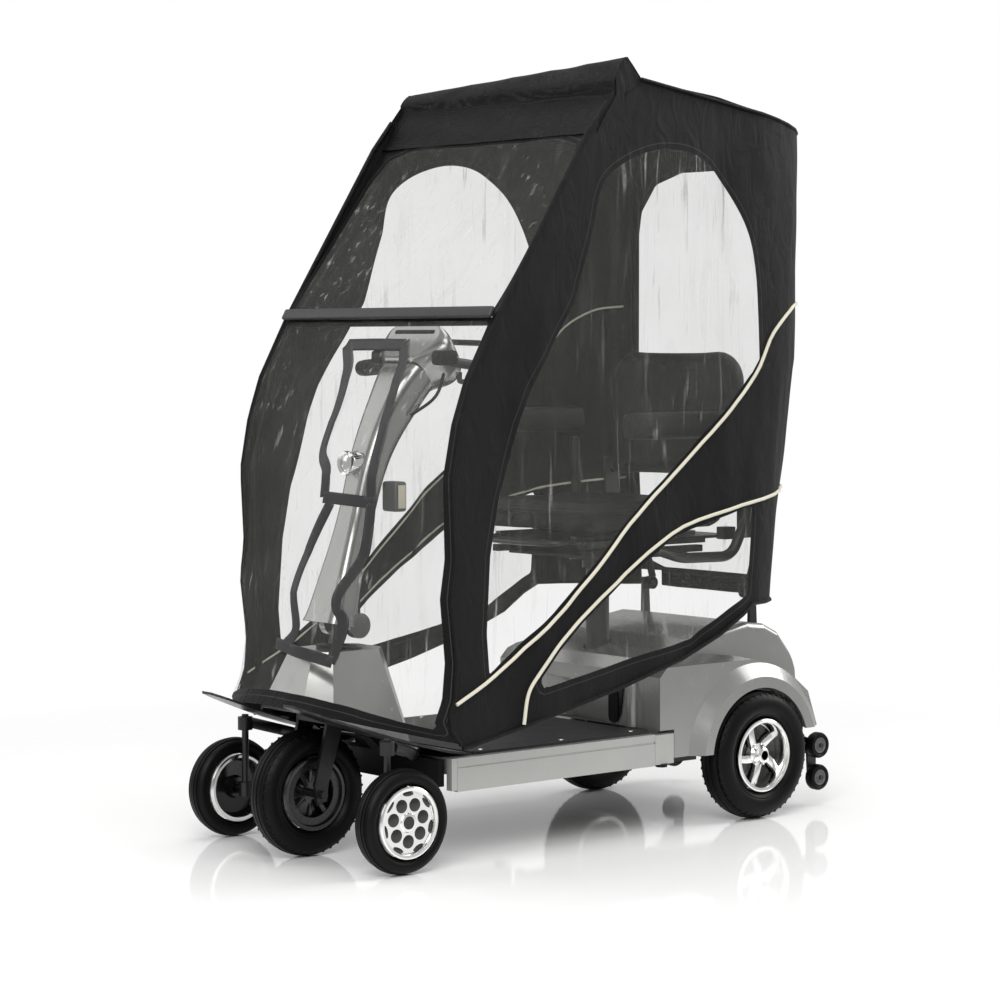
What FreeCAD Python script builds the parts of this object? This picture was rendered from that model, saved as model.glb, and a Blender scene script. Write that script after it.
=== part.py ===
"""Mobility scooter with a folding weather canopy.

Frame: millimetres, +X to the rider's left, +Y to the rear, +Z up, ground at Z = 0.
The origin is on the ground, midway between the foremost and rearmost points.
"""
import FreeCAD, Part
import math
import os
import Sketcher
from FreeCAD import Rotation, Vector

DOC = FreeCAD.newDocument("mobility_scooter")
DIMS = DOC.addObject("Spreadsheet::Sheet", "Dims")

DRIVING = [
    ("half_length", 688.0, "origin to the foremost and rearmost points"),
    ("rear_wheel_radius", 136.0, "outer radius of a rear tyre"),
    ("rear_wheel_width", 75.0, "width of a rear tyre"),
    ("rear_rim_radius", 76.0, "lip radius of a rear rim"),
    ("rear_wheel_side", 250.0, "centre line to the middle of a rear wheel"),
    ("rear_axle_back", 440.0, "rear axle behind the origin"),
    ("front_wheel_radius", 125.0, "outer radius of the centre front tyre"),
    ("front_wheel_width", 66.0, "width of the centre front tyre"),
    ("front_rim_radius", 72.0, "lip radius of the centre front rim"),
    ("front_axle_ahead", 546.0, "centre front axle ahead of the origin"),
    ("side_wheel_radius", 101.0, "outer radius of an outrigger tyre"),
    ("side_wheel_width", 50.0, "width of an outrigger tyre"),
    ("side_rim_radius", 68.0, "lip radius of an outrigger rim"),
    ("side_wheel_side", 279.0, "centre line to the middle of an outrigger wheel"),
    ("side_axle_ahead", 528.0, "outrigger axles ahead of the origin"),
    ("kingpin_side", 235.0, "centre line to a kingpin"),
    ("rake", 14.0, "steering axis lean in degrees"),
    ("deck_side", 250.0, "half width of the deck pan"),
    ("rail_width", 16.0, "width of a deck side rail"),
    ("deck_low", 140.0, "underside of the deck"),
    ("deck_high", 205.0, "top of the deck pan"),
    ("deck_front", 395.0, "front of the deck ahead of the origin"),
    ("deck_back", 140.0, "rear of the deck behind the origin"),
    ("mat_thick", 5.0, "thickness of the deck mat"),
    ("body_side", 205.0, "half width of the rear body"),
    ("fender_crease", 255.0, "centre line to the fender's outer crease"),
    ("fender_lip", 277.0, "centre line to the fender's outer face"),
    ("shell_wall", 4.0, "wall of the moulded covers"),
    ("swivel_back", 220.0, "seat swivel axis behind the origin"),
    ("cushion_side", 213.0, "half width of the seat cushion"),
    ("cushion_low", 618.0, "underside of the seat cushion"),
    ("cushion_high", 676.0, "top of the seat cushion"),
    ("pad_side", 200.0, "half width of the backrest"),
    ("canopy_side", 343.0, "half width of the canopy"),
    ("canopy_skin", 3.0, "thickness of the canopy panels"),
    ("canopy_pivot_back", 515.0, "canopy hinge behind the origin"),
    ("canopy_pivot_high", 470.0, "canopy hinge above the ground"),
    ("anti_tip_radius", 28.0, "radius of an anti-tip wheel"),
    ("bar_side", 252.0, "half width of the handlebar"),
]

for row, (alias, value, note) in enumerate(DRIVING, start=1):
    DIMS.set("A%d" % row, note)
    DIMS.set("B%d" % row, str(value))
    DIMS.setAlias("B%d" % row, alias)
DOC.recompute()


def dim(alias):
    """Return the value of a driving dimension."""
    return float(DIMS.get(alias))


def bind(item, **sizes):
    """Set each named size, as an expression on the sheet where it is given as text."""
    for prop, size in sizes.items():
        if isinstance(size, str):
            item.setExpression(prop, size)
        else:
            setattr(item, prop, size)
    return item


def plus(value, extra):
    """Add a number to a size that is a number or an expression."""
    if isinstance(value, str):
        return "(%s) + (%s)" % (value, extra)
    return value + extra


# ---- solids -----------------------------------------------------------------

AXIS_TURN = {
    "x": Rotation(Vector(0, 1, 0), 90),
    "y": Rotation(Vector(1, 0, 0), -90),
    "z": Rotation(),
}


def place(item, spot):
    """Put an item at a spot whose coordinates are numbers or expressions."""
    turn = item.Placement.Rotation
    numbers = [0.0 if isinstance(value, str) else value for value in spot]
    item.Placement = FreeCAD.Placement(Vector(*numbers), turn)
    for letter, value in zip("xyz", spot):
        if isinstance(value, str):
            item.setExpression("Placement.Base." + letter, value)
    return item


def box(label, corner, size):
    """A Part::Box from its low corner and its three sizes."""
    item = DOC.addObject("Part::Box", label)
    bind(item, Length=size[0], Width=size[1], Height=size[2])
    return place(item, corner)


def cylinder(label, axis, centre, radius, length):
    """A Part::Cylinder along an axis, starting at the centre of its first face."""
    item = DOC.addObject("Part::Cylinder", label)
    bind(item, Radius=radius, Height=length)
    item.Placement = FreeCAD.Placement(Vector(), AXIS_TURN[axis])
    return place(item, centre)


def fuse(label, items):
    """One Part::MultiFuse of several items."""
    item = DOC.addObject("Part::MultiFuse", label)
    item.Shapes = items
    return item


def cut(label, base, tool):
    """A Part::Cut of a base by a tool."""
    item = DOC.addObject("Part::Cut", label)
    item.Base = base
    item.Tool = tool
    return item


def rounded(label, base, radius, chosen):
    """A Part::Fillet on the edges that the chosen test picks."""
    DOC.recompute()
    item = DOC.addObject("Part::Fillet", label)
    item.Base = base
    picked = [n for n, edge in enumerate(base.Shape.Edges, start=1) if chosen(edge)]
    item.Edges = [(n, radius, radius) for n in picked]
    return item


def feature(label, shape):
    """A Part::Feature for a bent tube or a moulded skin."""
    item = DOC.addObject("Part::Feature", label)
    item.Shape = shape
    return item


def sketch_outline(body, plane, outline, name):
    """A closed polygon sketch whose corners are held by their distances to the origin."""
    sketch = body.newObject("Sketcher::SketchObject", name)
    base = [item for item in body.Origin.OriginFeatures if item.Role == plane][0]
    sketch.AttachmentSupport = [(base, "")]
    sketch.MapMode = "FlatFace"
    numbers = [(value_of(u), value_of(v)) for u, v in outline]
    count = len(outline)
    for n in range(count):
        start = Vector(*numbers[n], 0)
        end = Vector(*numbers[(n + 1) % count], 0)
        sketch.addGeometry(Part.LineSegment(start, end))
    for n in range(count):
        sketch.addConstraint(Sketcher.Constraint("Coincident", n, 2, (n + 1) % count, 1))
    for n, corner in enumerate(outline):
        for kind, size, number in zip(("DistanceX", "DistanceY"), corner, numbers[n]):
            index = sketch.addConstraint(Sketcher.Constraint(kind, -1, 1, n, 1, number))
            if isinstance(size, str):
                sketch.setExpression("Constraints[%d]" % index, size)
    return sketch


def value_of(size):
    """The number behind a size that is a number or an expression on the sheet."""
    if isinstance(size, str):
        return float(DIMS.evalExpression(size))
    return float(size)


def extrusion(label, plane, outline, start, depth):
    """A PartDesign body: a polygon sketch padded from a start along the plane's normal."""
    body = DOC.addObject("PartDesign::Body", label)
    sketch = sketch_outline(body, plane, outline, label + "_sketch")
    pad = body.newObject("PartDesign::Pad", label + "_pad")
    pad.Profile = sketch
    bind(pad, Length=depth)
    spot = {"YZ_Plane": (start, 0, 0), "XZ_Plane": (0, start, 0), "XY_Plane": (0, 0, start)}
    return place(body, spot[plane])


def turned(label, outline, centre):
    """A PartDesign body: an (x, radius) outline revolved about the X direction."""
    body = DOC.addObject("PartDesign::Body", label)
    sketch = sketch_outline(body, "XZ_Plane", outline, label + "_sketch")
    spin = body.newObject("PartDesign::Revolution", label + "_turn")
    spin.Profile = sketch
    spin.ReferenceAxis = (sketch, ["H_Axis"])
    spin.Angle = 360.0
    return place(body, centre)


def path_wire(points, radii):
    """A wire of straight runs joined by tangent arcs of the given radii."""
    points = [Vector(*point) for point in points]
    edges = []
    last = points[0]
    for before, corner, after, radius in zip(points, points[1:], points[2:], radii):
        towards = (before - corner).normalize()
        away = (after - corner).normalize()
        half = towards.getAngle(away) / 2.0
        reach = radius / math.tan(half)
        start = corner + towards * reach
        end = corner + away * reach
        bisector = (towards + away).normalize()
        middle = corner + bisector * (radius / math.sin(half) - radius)
        edges.append(Part.LineSegment(last, start).toShape())
        edges.append(Part.Arc(start, middle, end).toShape())
        last = end
    edges.append(Part.LineSegment(last, points[-1]).toShape())
    return Part.Wire(edges)


def tube_shape(points, radius, bends):
    """A solid round bar along a bent path."""
    wire = path_wire(points, bends)
    heading = Vector(*points[1]) - Vector(*points[0])
    ring = Part.Wire([Part.makeCircle(radius, Vector(*points[0]), heading)])
    return wire.makePipeShell([ring], True, False)


def poly_solid(outline, plane_point, thickness):
    """A prism from 3-D points of a flat polygon, swept along a thickness vector."""
    ring = Part.makePolygon([Vector(*p) for p in outline] + [Vector(*outline[0])])
    return Part.Face(ring).extrude(Vector(*thickness)).translated(Vector(*plane_point))


def skin_solid(rows, inward):
    """A closed skin between a grid of rows of points and the same grid moved inward."""
    outer = rows
    inner = [[p + push for p, push in zip(row, pushes)] for row, pushes in zip(rows, inward)]
    faces = []

    def patch(a, b, c, d):
        for trio in ((a, b, c), (a, c, d)):
            faces.append(Part.Face(Part.makePolygon(list(trio) + [trio[0]])))

    last_row = len(rows) - 1
    last_col = len(rows[0]) - 1
    for i in range(last_row):
        for j in range(last_col):
            patch(outer[i][j], outer[i][j + 1], outer[i + 1][j + 1], outer[i + 1][j])
            patch(inner[i][j], inner[i + 1][j], inner[i + 1][j + 1], inner[i][j + 1])
    for i in range(last_row):
        patch(outer[i][0], outer[i + 1][0], inner[i + 1][0], inner[i][0])
        patch(outer[i][last_col], inner[i][last_col], inner[i + 1][last_col], outer[i + 1][last_col])
    for j in range(last_col):
        patch(outer[0][j], inner[0][j], inner[0][j + 1], outer[0][j + 1])
        patch(outer[last_row][j], outer[last_row][j + 1], inner[last_row][j + 1], inner[last_row][j])
    shell = Part.Shell(faces)
    shell.sewShape()
    solid = Part.Solid(Part.Shell(shell.Faces))
    if solid.Volume < 0:
        solid.reverse()
    return solid


# ---- wheels -----------------------------------------------------------------

def tyre(label, radius, width, rim, centre):
    """A tyre with rounded shoulders, as an outline turned about its axle."""
    half = "(%s) / 2" % width
    outline = [
        ("-(%s)" % half, plus(rim, 9.0)),
        (plus("-(%s)" % half, 6.0), plus(rim, 0.4)),
        (plus(half, -6.0), plus(rim, 0.4)),
        (half, plus(rim, 9.0)),
        (half, "(%s) * 0.45 + (%s) * 0.55" % (rim, radius)),
        ("(%s) * 0.80" % half, "(%s) * 0.15 + (%s) * 0.85" % (rim, radius)),
        ("(%s) * 0.42" % half, radius),
        ("-(%s) * 0.42" % half, radius),
        ("-(%s) * 0.80" % half, "(%s) * 0.15 + (%s) * 0.85" % (rim, radius)),
        ("-(%s)" % half, "(%s) * 0.45 + (%s) * 0.55" % (rim, radius)),
    ]
    return turned(label, outline, centre)


def rim(label, lip, half, disc, thick, hub, hub_half, centre, bore=8.2):
    """A rim: a barrel with a web at the distance `disc` from its middle, and a hub."""
    outline = [
        (-half, lip - 7.0),
        (-half, lip),
        (half, lip),
        (half, lip - 7.0),
        (disc + thick, lip - 9.0),
        (disc + thick, hub),
        (hub_half, hub),
        (hub_half, bore),
        (-hub_half, bore),
        (-hub_half, hub),
        (disc, hub),
        (disc, lip - 9.0),
    ]
    return turned(label, outline, centre)


REAR_AXLE = ("Dims.rear_wheel_side", "Dims.rear_axle_back", "Dims.rear_wheel_radius")
SIDE_AXLE = ("Dims.side_wheel_side", "-Dims.side_axle_ahead", "Dims.side_wheel_radius")
FRONT_AXLE = (0.0, "-Dims.front_axle_ahead", "Dims.front_wheel_radius")


def wheels():
    """The five road wheels, each as a tyre and a rim."""
    pieces = []
    front_lip = dim("front_rim_radius")
    pieces.append(tyre("front_tyre", "Dims.front_wheel_radius", "Dims.front_wheel_width",
                       "Dims.front_rim_radius", FRONT_AXLE))
    pieces.append(rim("front_rim", front_lip, 27.0, -4.0, 8.0, 20.0, 33.0, FRONT_AXLE))
    for side, sign in (("left", ""), ("right", "-")):
        turn = 1.0 if side == "left" else -1.0
        rear = (sign + REAR_AXLE[0],) + REAR_AXLE[1:]
        outrigger = (sign + SIDE_AXLE[0],) + SIDE_AXLE[1:]
        pieces.append(tyre("rear_tyre_" + side, "Dims.rear_wheel_radius",
                           "Dims.rear_wheel_width", "Dims.rear_rim_radius", rear))
        pieces.append(rim("rear_rim_" + side, dim("rear_rim_radius"), 31.0,
                          turn * 8.0 - 4.0, 8.0, 22.0, 32.0, rear, 10.2))
        pieces.append(tyre("side_tyre_" + side, "Dims.side_wheel_radius",
                           "Dims.side_wheel_width", "Dims.side_rim_radius", outrigger))
        pieces.append(rim("side_rim_" + side, dim("side_rim_radius"), 23.0,
                          turn * 14.0 - 3.0, 6.0, 18.0, 24.0, outrigger, 6.2))
        for level, back, high in (("upper", 660.0, 132.0), ("lower", 660.0, 62.0)):
            spot = (turn * 226.0, back, high)
            roller = turned("anti_tip_wheel_%s_%s" % (level, side), [
                (-11.0, 5.2), (-11.0, 16.0), (-8.0, 26.0), (-4.0, "Dims.anti_tip_radius"),
                (4.0, "Dims.anti_tip_radius"), (8.0, 26.0), (11.0, 16.0), (11.0, 5.2),
            ], spot)
            pieces.append(roller)
    return pieces


# ---- steering ---------------------------------------------------------------

LEAN = math.radians(dim("rake"))
STEER_DIR = Vector(0, math.sin(LEAN), math.cos(LEAN))
STEER_FOOT = Vector(0, -dim("front_axle_ahead"), dim("front_wheel_radius"))


TILLER_PIVOT = Vector(0, -452, 450)


def on_steering_axis(height, forward=0.0, side=0.0):
    """A point on the leaning steering axis at a height, moved forward and sideways."""
    run = (height - STEER_FOOT.z) / STEER_DIR.z
    across = Vector(0, -math.cos(LEAN), math.sin(LEAN))
    return STEER_FOOT + STEER_DIR * run + across * forward + Vector(side, 0, 0)


def round_bar(start, end, radius):
    """A straight round bar between two points."""
    run = end - start
    return Part.makeCylinder(radius, run.Length, start, run)


def steering():
    """The fork with its stem and axle, and the two knuckles that carry the outriggers."""
    crown = on_steering_axis(268.0)
    fork = round_bar(crown, on_steering_axis(433.0), 14.0)
    fork = fork.fuse(Part.makeBox(104, 44, 14, Vector(-52, crown.y - 22, 262)))
    for sign in (-1, 1):
        leg = poly_solid([
            (0, crown.y - 22, 264), (0, crown.y + 18, 264),
            (0, STEER_FOOT.y + 16, STEER_FOOT.z + 20), (0, STEER_FOOT.y + 12, STEER_FOOT.z - 14),
            (0, STEER_FOOT.y - 12, STEER_FOOT.z - 14), (0, STEER_FOOT.y - 16, STEER_FOOT.z + 20),
        ], (sign * 47.0 - 4.0, 0, 0), (8, 0, 0))
        fork = fork.fuse(leg)
    axle = round_bar(STEER_FOOT + Vector(-60, 0, 0), STEER_FOOT + Vector(60, 0, 0), 8.0)
    fork = fork.fuse(axle)
    fork = fork.fuse(Part.makeBox(40, 30, 30, TILLER_PIVOT - Vector(20, 15, 18)))
    reach = Vector(33, 0, 0)
    fork = fork.fuse(round_bar(TILLER_PIVOT - reach, TILLER_PIVOT + reach, 7.5))
    pieces = [feature("steering_fork", fork)]
    for side, sign in (("left", 1), ("right", -1)):
        foot = Vector(sign * dim("kingpin_side"), -dim("side_axle_ahead"), dim("side_wheel_radius"))
        up = Vector(0, 0, 1)
        pin = round_bar(foot - up * 12, foot + up * 152, 7.0)
        collar = round_bar(foot - up * 14, foot + up * 14, 13.0)
        stub = round_bar(foot, foot + Vector(sign * 66, 0, 0), 6.0)
        pieces.append(feature("knuckle_" + side, pin.fuse(collar).fuse(stub)))
    return pieces


# ---- frame, deck and covers --------------------------------------------------

def outrigger_arm(sign, radius):
    """The bent tube from a deck beam to a kingpin boss, kept under the foot board."""
    line = [(sign * 90, -385, 165), (sign * 150, -398, 199), (sign * 215, -452, 217),
            (sign * dim("kingpin_side"), 14 - dim("side_axle_ahead"), dim("side_wheel_radius") + 134)]
    return tube_shape(line, radius, [25.0, 25.0])


def frame_clearance():
    """The main frame with room round its arms, which is cut out of the covers that it passes."""
    room = DOC.getObject("main_frame").Shape
    room = room.fuse(Part.makeBox(61, 21, 150, Vector(-30.5, -404.5, 150)))
    for sign in (-1, 1):
        room = room.fuse(outrigger_arm(sign, 11.8))
    return room


def main_frame():
    """Deck beams, gooseneck with the head tube, outrigger arms, and the seat post."""
    shape = Part.makeBox(30, 990, 34, Vector(-105, -395, 146))
    shape = shape.fuse(Part.makeBox(30, 990, 34, Vector(75, -395, 146)))
    for back, deep in ((-395, 30), (-110, 30), (205, 30), (565, 30)):
        shape = shape.fuse(Part.makeBox(210, deep, 34, Vector(-105, back, 146)))
    shape = shape.fuse(Part.makeBox(60, 20, 150, Vector(-30, -404, 150)))
    neck = poly_solid([(0, -404, 262), (0, -384, 262), (0, -388, 326), (0, -466, 384), (0, -488, 330)],
                      (-20, 0, 0), (40, 0, 0))
    shape = shape.fuse(neck)
    head = round_bar(on_steering_axis(292.0), on_steering_axis(398.0), 24.0)
    shape = shape.fuse(head).cut(round_bar(on_steering_axis(280.0), on_steering_axis(410.0), 15.0))
    for sign in (-1, 1):
        foot = Vector(sign * dim("kingpin_side"), -dim("side_axle_ahead"), dim("side_wheel_radius"))
        top = foot + Vector(0, 0, 134)
        arm = outrigger_arm(sign, 11.0)
        boss = round_bar(top - Vector(0, 0, 13), top + Vector(0, 0, 13), 15.0)
        shape = shape.fuse(arm).fuse(boss)
        shape = shape.cut(round_bar(top - Vector(0, 0, 20), top + Vector(0, 0, 20), 7.05))
    post = Part.makeCylinder(25, 370, Vector(0, dim("swivel_back"), 176))
    return feature("main_frame", shape.fuse(post).removeSplitter())


DECK_LENGTH = "Dims.deck_front + Dims.deck_back"


def deck():
    """The folded deck pan, its mat, the side rails and their caps."""
    outer = box("deck_pan_outer", ("-Dims.deck_side", "-Dims.deck_front", 183.0),
                ("2 * Dims.deck_side", DECK_LENGTH, "Dims.deck_high - 183"))
    inner = box("deck_pan_inner", ("-Dims.deck_side + 4", "-Dims.deck_front + 4", 170.0),
                ("2 * Dims.deck_side - 8", plus(DECK_LENGTH, -8.0), 30.0))
    clearance = feature("frame_clearance", frame_clearance())
    pan = cut("deck_pan", cut("deck_pan_folded", outer, inner), clearance)
    mat_block = box("deck_mat_block", ("-Dims.deck_side + 6", "-Dims.deck_front + 70", "Dims.deck_high"),
                    ("2 * Dims.deck_side - 12", plus(DECK_LENGTH, -72.0), "Dims.mat_thick"))
    mat = rounded("deck_mat", mat_block, 22.0,
                  lambda edge: edge.BoundBox.ZLength > 1 and edge.BoundBox.YMax < 0)
    pieces = [pan, mat]
    rails = []
    caps = []
    for side, sign in (("left", 1), ("right", -1)):
        low = "Dims.deck_side" if sign > 0 else "-Dims.deck_side - Dims.rail_width"
        block = box("rail_block_" + side, (low, "-Dims.deck_front + 14", "Dims.deck_low"),
                    ("Dims.rail_width", plus(DECK_LENGTH, -14.0), "Dims.deck_high - Dims.deck_low"))
        face = dim("deck_side") + dim("rail_width") - 2.0
        slot = box("rail_slot_" + side, (face if sign > 0 else -face - 4, "-Dims.deck_front", 186.0),
                   (4.0, DECK_LENGTH, 4.0))
        rails.append(cut("side_rail_" + side, block, slot))
        caps.append(box("rail_front_cap_" + side, (low, "-Dims.deck_front", "Dims.deck_low + 3"),
                        ("Dims.rail_width", 13.5, "Dims.deck_high - Dims.deck_low - 3")))
        caps.append(box("rail_rear_cap_" + side, (low, "Dims.deck_back + 0.5", "Dims.deck_low + 2"),
                        ("Dims.rail_width", 52.0, "Dims.deck_high - Dims.deck_low - 4")))
    pieces.append(fuse("side_rails", rails))
    pieces.append(fuse("rail_caps", caps))
    return pieces


def board_height(back):
    """Top of a foot board at a place along Y: level at the deck, rising to its tip."""
    span = dim("half_length") - 330.0
    share = max(0.0, (-330.0 - back) / span)
    return 208.0 + 113.0 * share ** 1.25


def foot_board(side, sign):
    """A thin board that rises from the deck's front corner to a narrow tip ahead of the cowl."""
    stations = [-327.0, -380.0, -440.0, -500.0, -560.0, -620.0, -660.0, -688.0]
    outer = [244.0, 238.0, 228.0, 214.0, 197.0, 178.0, 166.0, 152.0]
    inner = [100.0, 100.0, 100.0, 100.0, 100.0, 102.0, 106.0, 120.0]
    rows = []
    pushes = []
    for back, near, far in zip(stations, inner, outer):
        top = board_height(back)
        rows.append([Vector(sign * (near + (far - near) * n / 3.0), back, top) for n in range(4)])
        pushes.append([Vector(0, 0, -5)] * 4)
    board = skin_solid(rows, pushes).cut(DOC.getObject("deck_pan").Shape)
    return feature("foot_board_" + side, board.cut(DOC.getObject("frame_clearance").Shape))


def cowl_section(height):
    """Half width, front and rear of the nose cowl at a height."""
    share = (height - 214.0) / (404.0 - 214.0)
    return 150.0 - 84.0 * share, -640.0 + 82.0 * share, -352.0 - 38.0 * share


def cowl_ring(height, wall):
    """An eight-sided closed ring of the nose cowl, drawn in by a wall."""
    half, front, rear = cowl_section(height)
    half, front, rear = half - wall, front + wall, rear - wall
    chamfer = 0.42 * half
    deep = 0.17 * (rear - front)
    points = [(half - chamfer, front), (half, front + deep), (half, rear - deep), (half - chamfer, rear)]
    ring = points + [(-u, v) for u, v in reversed(points)]
    corners = [Vector(u, v, height) for u, v in ring]
    return Part.makePolygon(corners + [corners[0]])


def nose_cowl():
    """The hollow pyramid-shaped cover round the steering head, trimmed above the boards."""
    outer = Part.makeLoft([cowl_ring(214.0, 0.0), cowl_ring(404.0, 0.0)], True, True)
    inner = Part.makeLoft([cowl_ring(200.0, 4.0), cowl_ring(400.0, 4.0)], True, True)
    shape = outer.cut(inner)
    profile = [(0, back, board_height(back) + 1.5) for back in (-300, -380, -460, -540, -620, -700)]
    profile += [(0, -700, 150), (0, -300, 150)]
    shape = shape.cut(poly_solid(profile, (-200, 0, 0), (400, 0, 0)))
    collar = Part.makeCylinder(30, 60, on_steering_axis(380.0), STEER_DIR)
    return feature("nose_cowl", shape.cut(collar).cut(DOC.getObject("frame_clearance").Shape))


def front_undertray():
    """The black moulding over the centre wheel, open where the fork turns, and its cross wall."""
    centre = STEER_FOOT + Vector(-98, 0, 0)
    skin = Part.makeCylinder(141.0, 196, centre, Vector(1, 0, 0))
    skin = skin.cut(Part.makeCylinder(137.0, 196, centre, Vector(1, 0, 0)))
    window = Part.makeBox(240, 150, 160, Vector(-120, STEER_FOOT.y - 5, 150))
    window = window.cut(Part.makeBox(130, 150, 160, Vector(-65, STEER_FOOT.y - 40, 180)))
    skin = skin.common(window)
    bulkhead = Part.makeBox(490, 14, 52, Vector(-245, -411, 150))
    bulkhead = bulkhead.cut(Part.makeBox(140, 70, 30, Vector(-70, -412, 180)))
    return feature("front_undertray", skin.common(Part.makeBox(400, 144, 400, Vector(-200, -541, 0)))
                   .fuse(bulkhead).cut(DOC.getObject("frame_clearance").Shape)
                   .cut(DOC.getObject("deck_pan").Shape))


BODY_PROFILE = [(164, 209), (164, 325), (180, 350), (216, 366), (300, 384), (389, 398), (470, 410),
                (520, 404), (562, 384), (594, 346), (610, 300), (616, 240), (606, 186), (560, 182),
                (228, 182), (214, 209)]
BODY_INNER = [(168, 213), (168, 323), (183, 347), (217, 362), (301, 380), (389, 394), (470, 406),
              (518, 400), (559, 381), (590, 344), (606, 299), (612, 240), (603, 190), (560, 170),
              (232, 170), (218, 213)]


def rear_covers():
    """The battery cover and the two wheel-arch covers, each a hollow moulding."""
    shell = extrusion("body_outer", "YZ_Plane", BODY_PROFILE, "-Dims.body_side", "2 * Dims.body_side")
    hollow = extrusion("body_hollow", "YZ_Plane", BODY_INNER, "-Dims.body_side + Dims.shell_wall",
                       "2 * Dims.body_side - 2 * Dims.shell_wall")
    soft = rounded("body_soft", shell, 14.0,
                   lambda edge: abs(edge.BoundBox.XLength) < 0.01 and edge.BoundBox.ZMin > 330.0)
    opened = cut("body_opened", soft, hollow)
    well = cylinder("post_hole", "z", (0.0, "Dims.swivel_back", 170.0), 30.0, 280.0)
    fused_holes = [well]
    for sign in (-1, 1):
        fused_holes.append(cylinder("axle_hole_%s" % ("left" if sign > 0 else "right"), "x",
                                    (sign * 220.0 - 30.0, "Dims.rear_axle_back",
                                     "Dims.rear_wheel_radius"), 52.0, 60.0))
    pieces = [cut("rear_body", opened, fuse("body_holes", fused_holes))]
    centre_y = dim("rear_axle_back") - 2.0
    centre_z = dim("rear_wheel_radius") + 1.0
    for side, sign in (("left", 1), ("right", -1)):
        low = dim("body_side") + 0.5
        crease = dim("fender_crease")
        lip = dim("fender_lip")

        def disc(radius, start, length):
            return Part.makeCylinder(radius, length, Vector(start, centre_y, centre_z), Vector(1, 0, 0))

        flank = poly_solid([(0, 164, 209), (0, 164, 318), (0, 196, 350), (0, 244, 362), (0, 389, 348),
                            (0, 480, 326), (0, 545, 300), (0, 600, 258), (0, 628, 182), (0, 560, 182),
                            (0, 560, 150), (0, 204, 150), (0, 204, 209)], (low, 0, 0),
                           (crease - low, 0, 0))
        crown = poly_solid([(low, 0, 420), (low, 0, 372), (crease, 0, 338), (crease + 30, 0, 338),
                            (crease + 30, 0, 420)], (0, 150, 0), (0, 500, 0))
        flank = flank.fuse(disc(193.0, low, crease - low).common(
            Part.makeBox(100, 500, 200, Vector(low - 5, 200, 182))))
        flare = Part.makeCone(193.0, 165.0, lip - crease, Vector(crease, centre_y, centre_z),
                              Vector(1, 0, 0))
        flare = flare.common(Part.makeBox(60, centre_y - 150, 260, Vector(crease - 5, 150, 150)).fuse(
            Part.makeBox(60, 300, 240, Vector(crease - 5, centre_y, 182))))
        arch = flank.fuse(flare)
        well = disc(149.0, low - 1.0, lip - low - 5.0)
        mouth = disc(142.0, low + 20.0, 80.0)
        arch = arch.cut(crown).cut(well).cut(mouth)
        arch = arch.cut(Part.makeBox(100, 400, 60, Vector(low - 5, centre_y, 120)))
        if sign < 0:
            arch = arch.mirror(Vector(), Vector(1, 0, 0))
        pieces.append(feature("rear_fender_" + side, arch))
    return pieces


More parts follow.
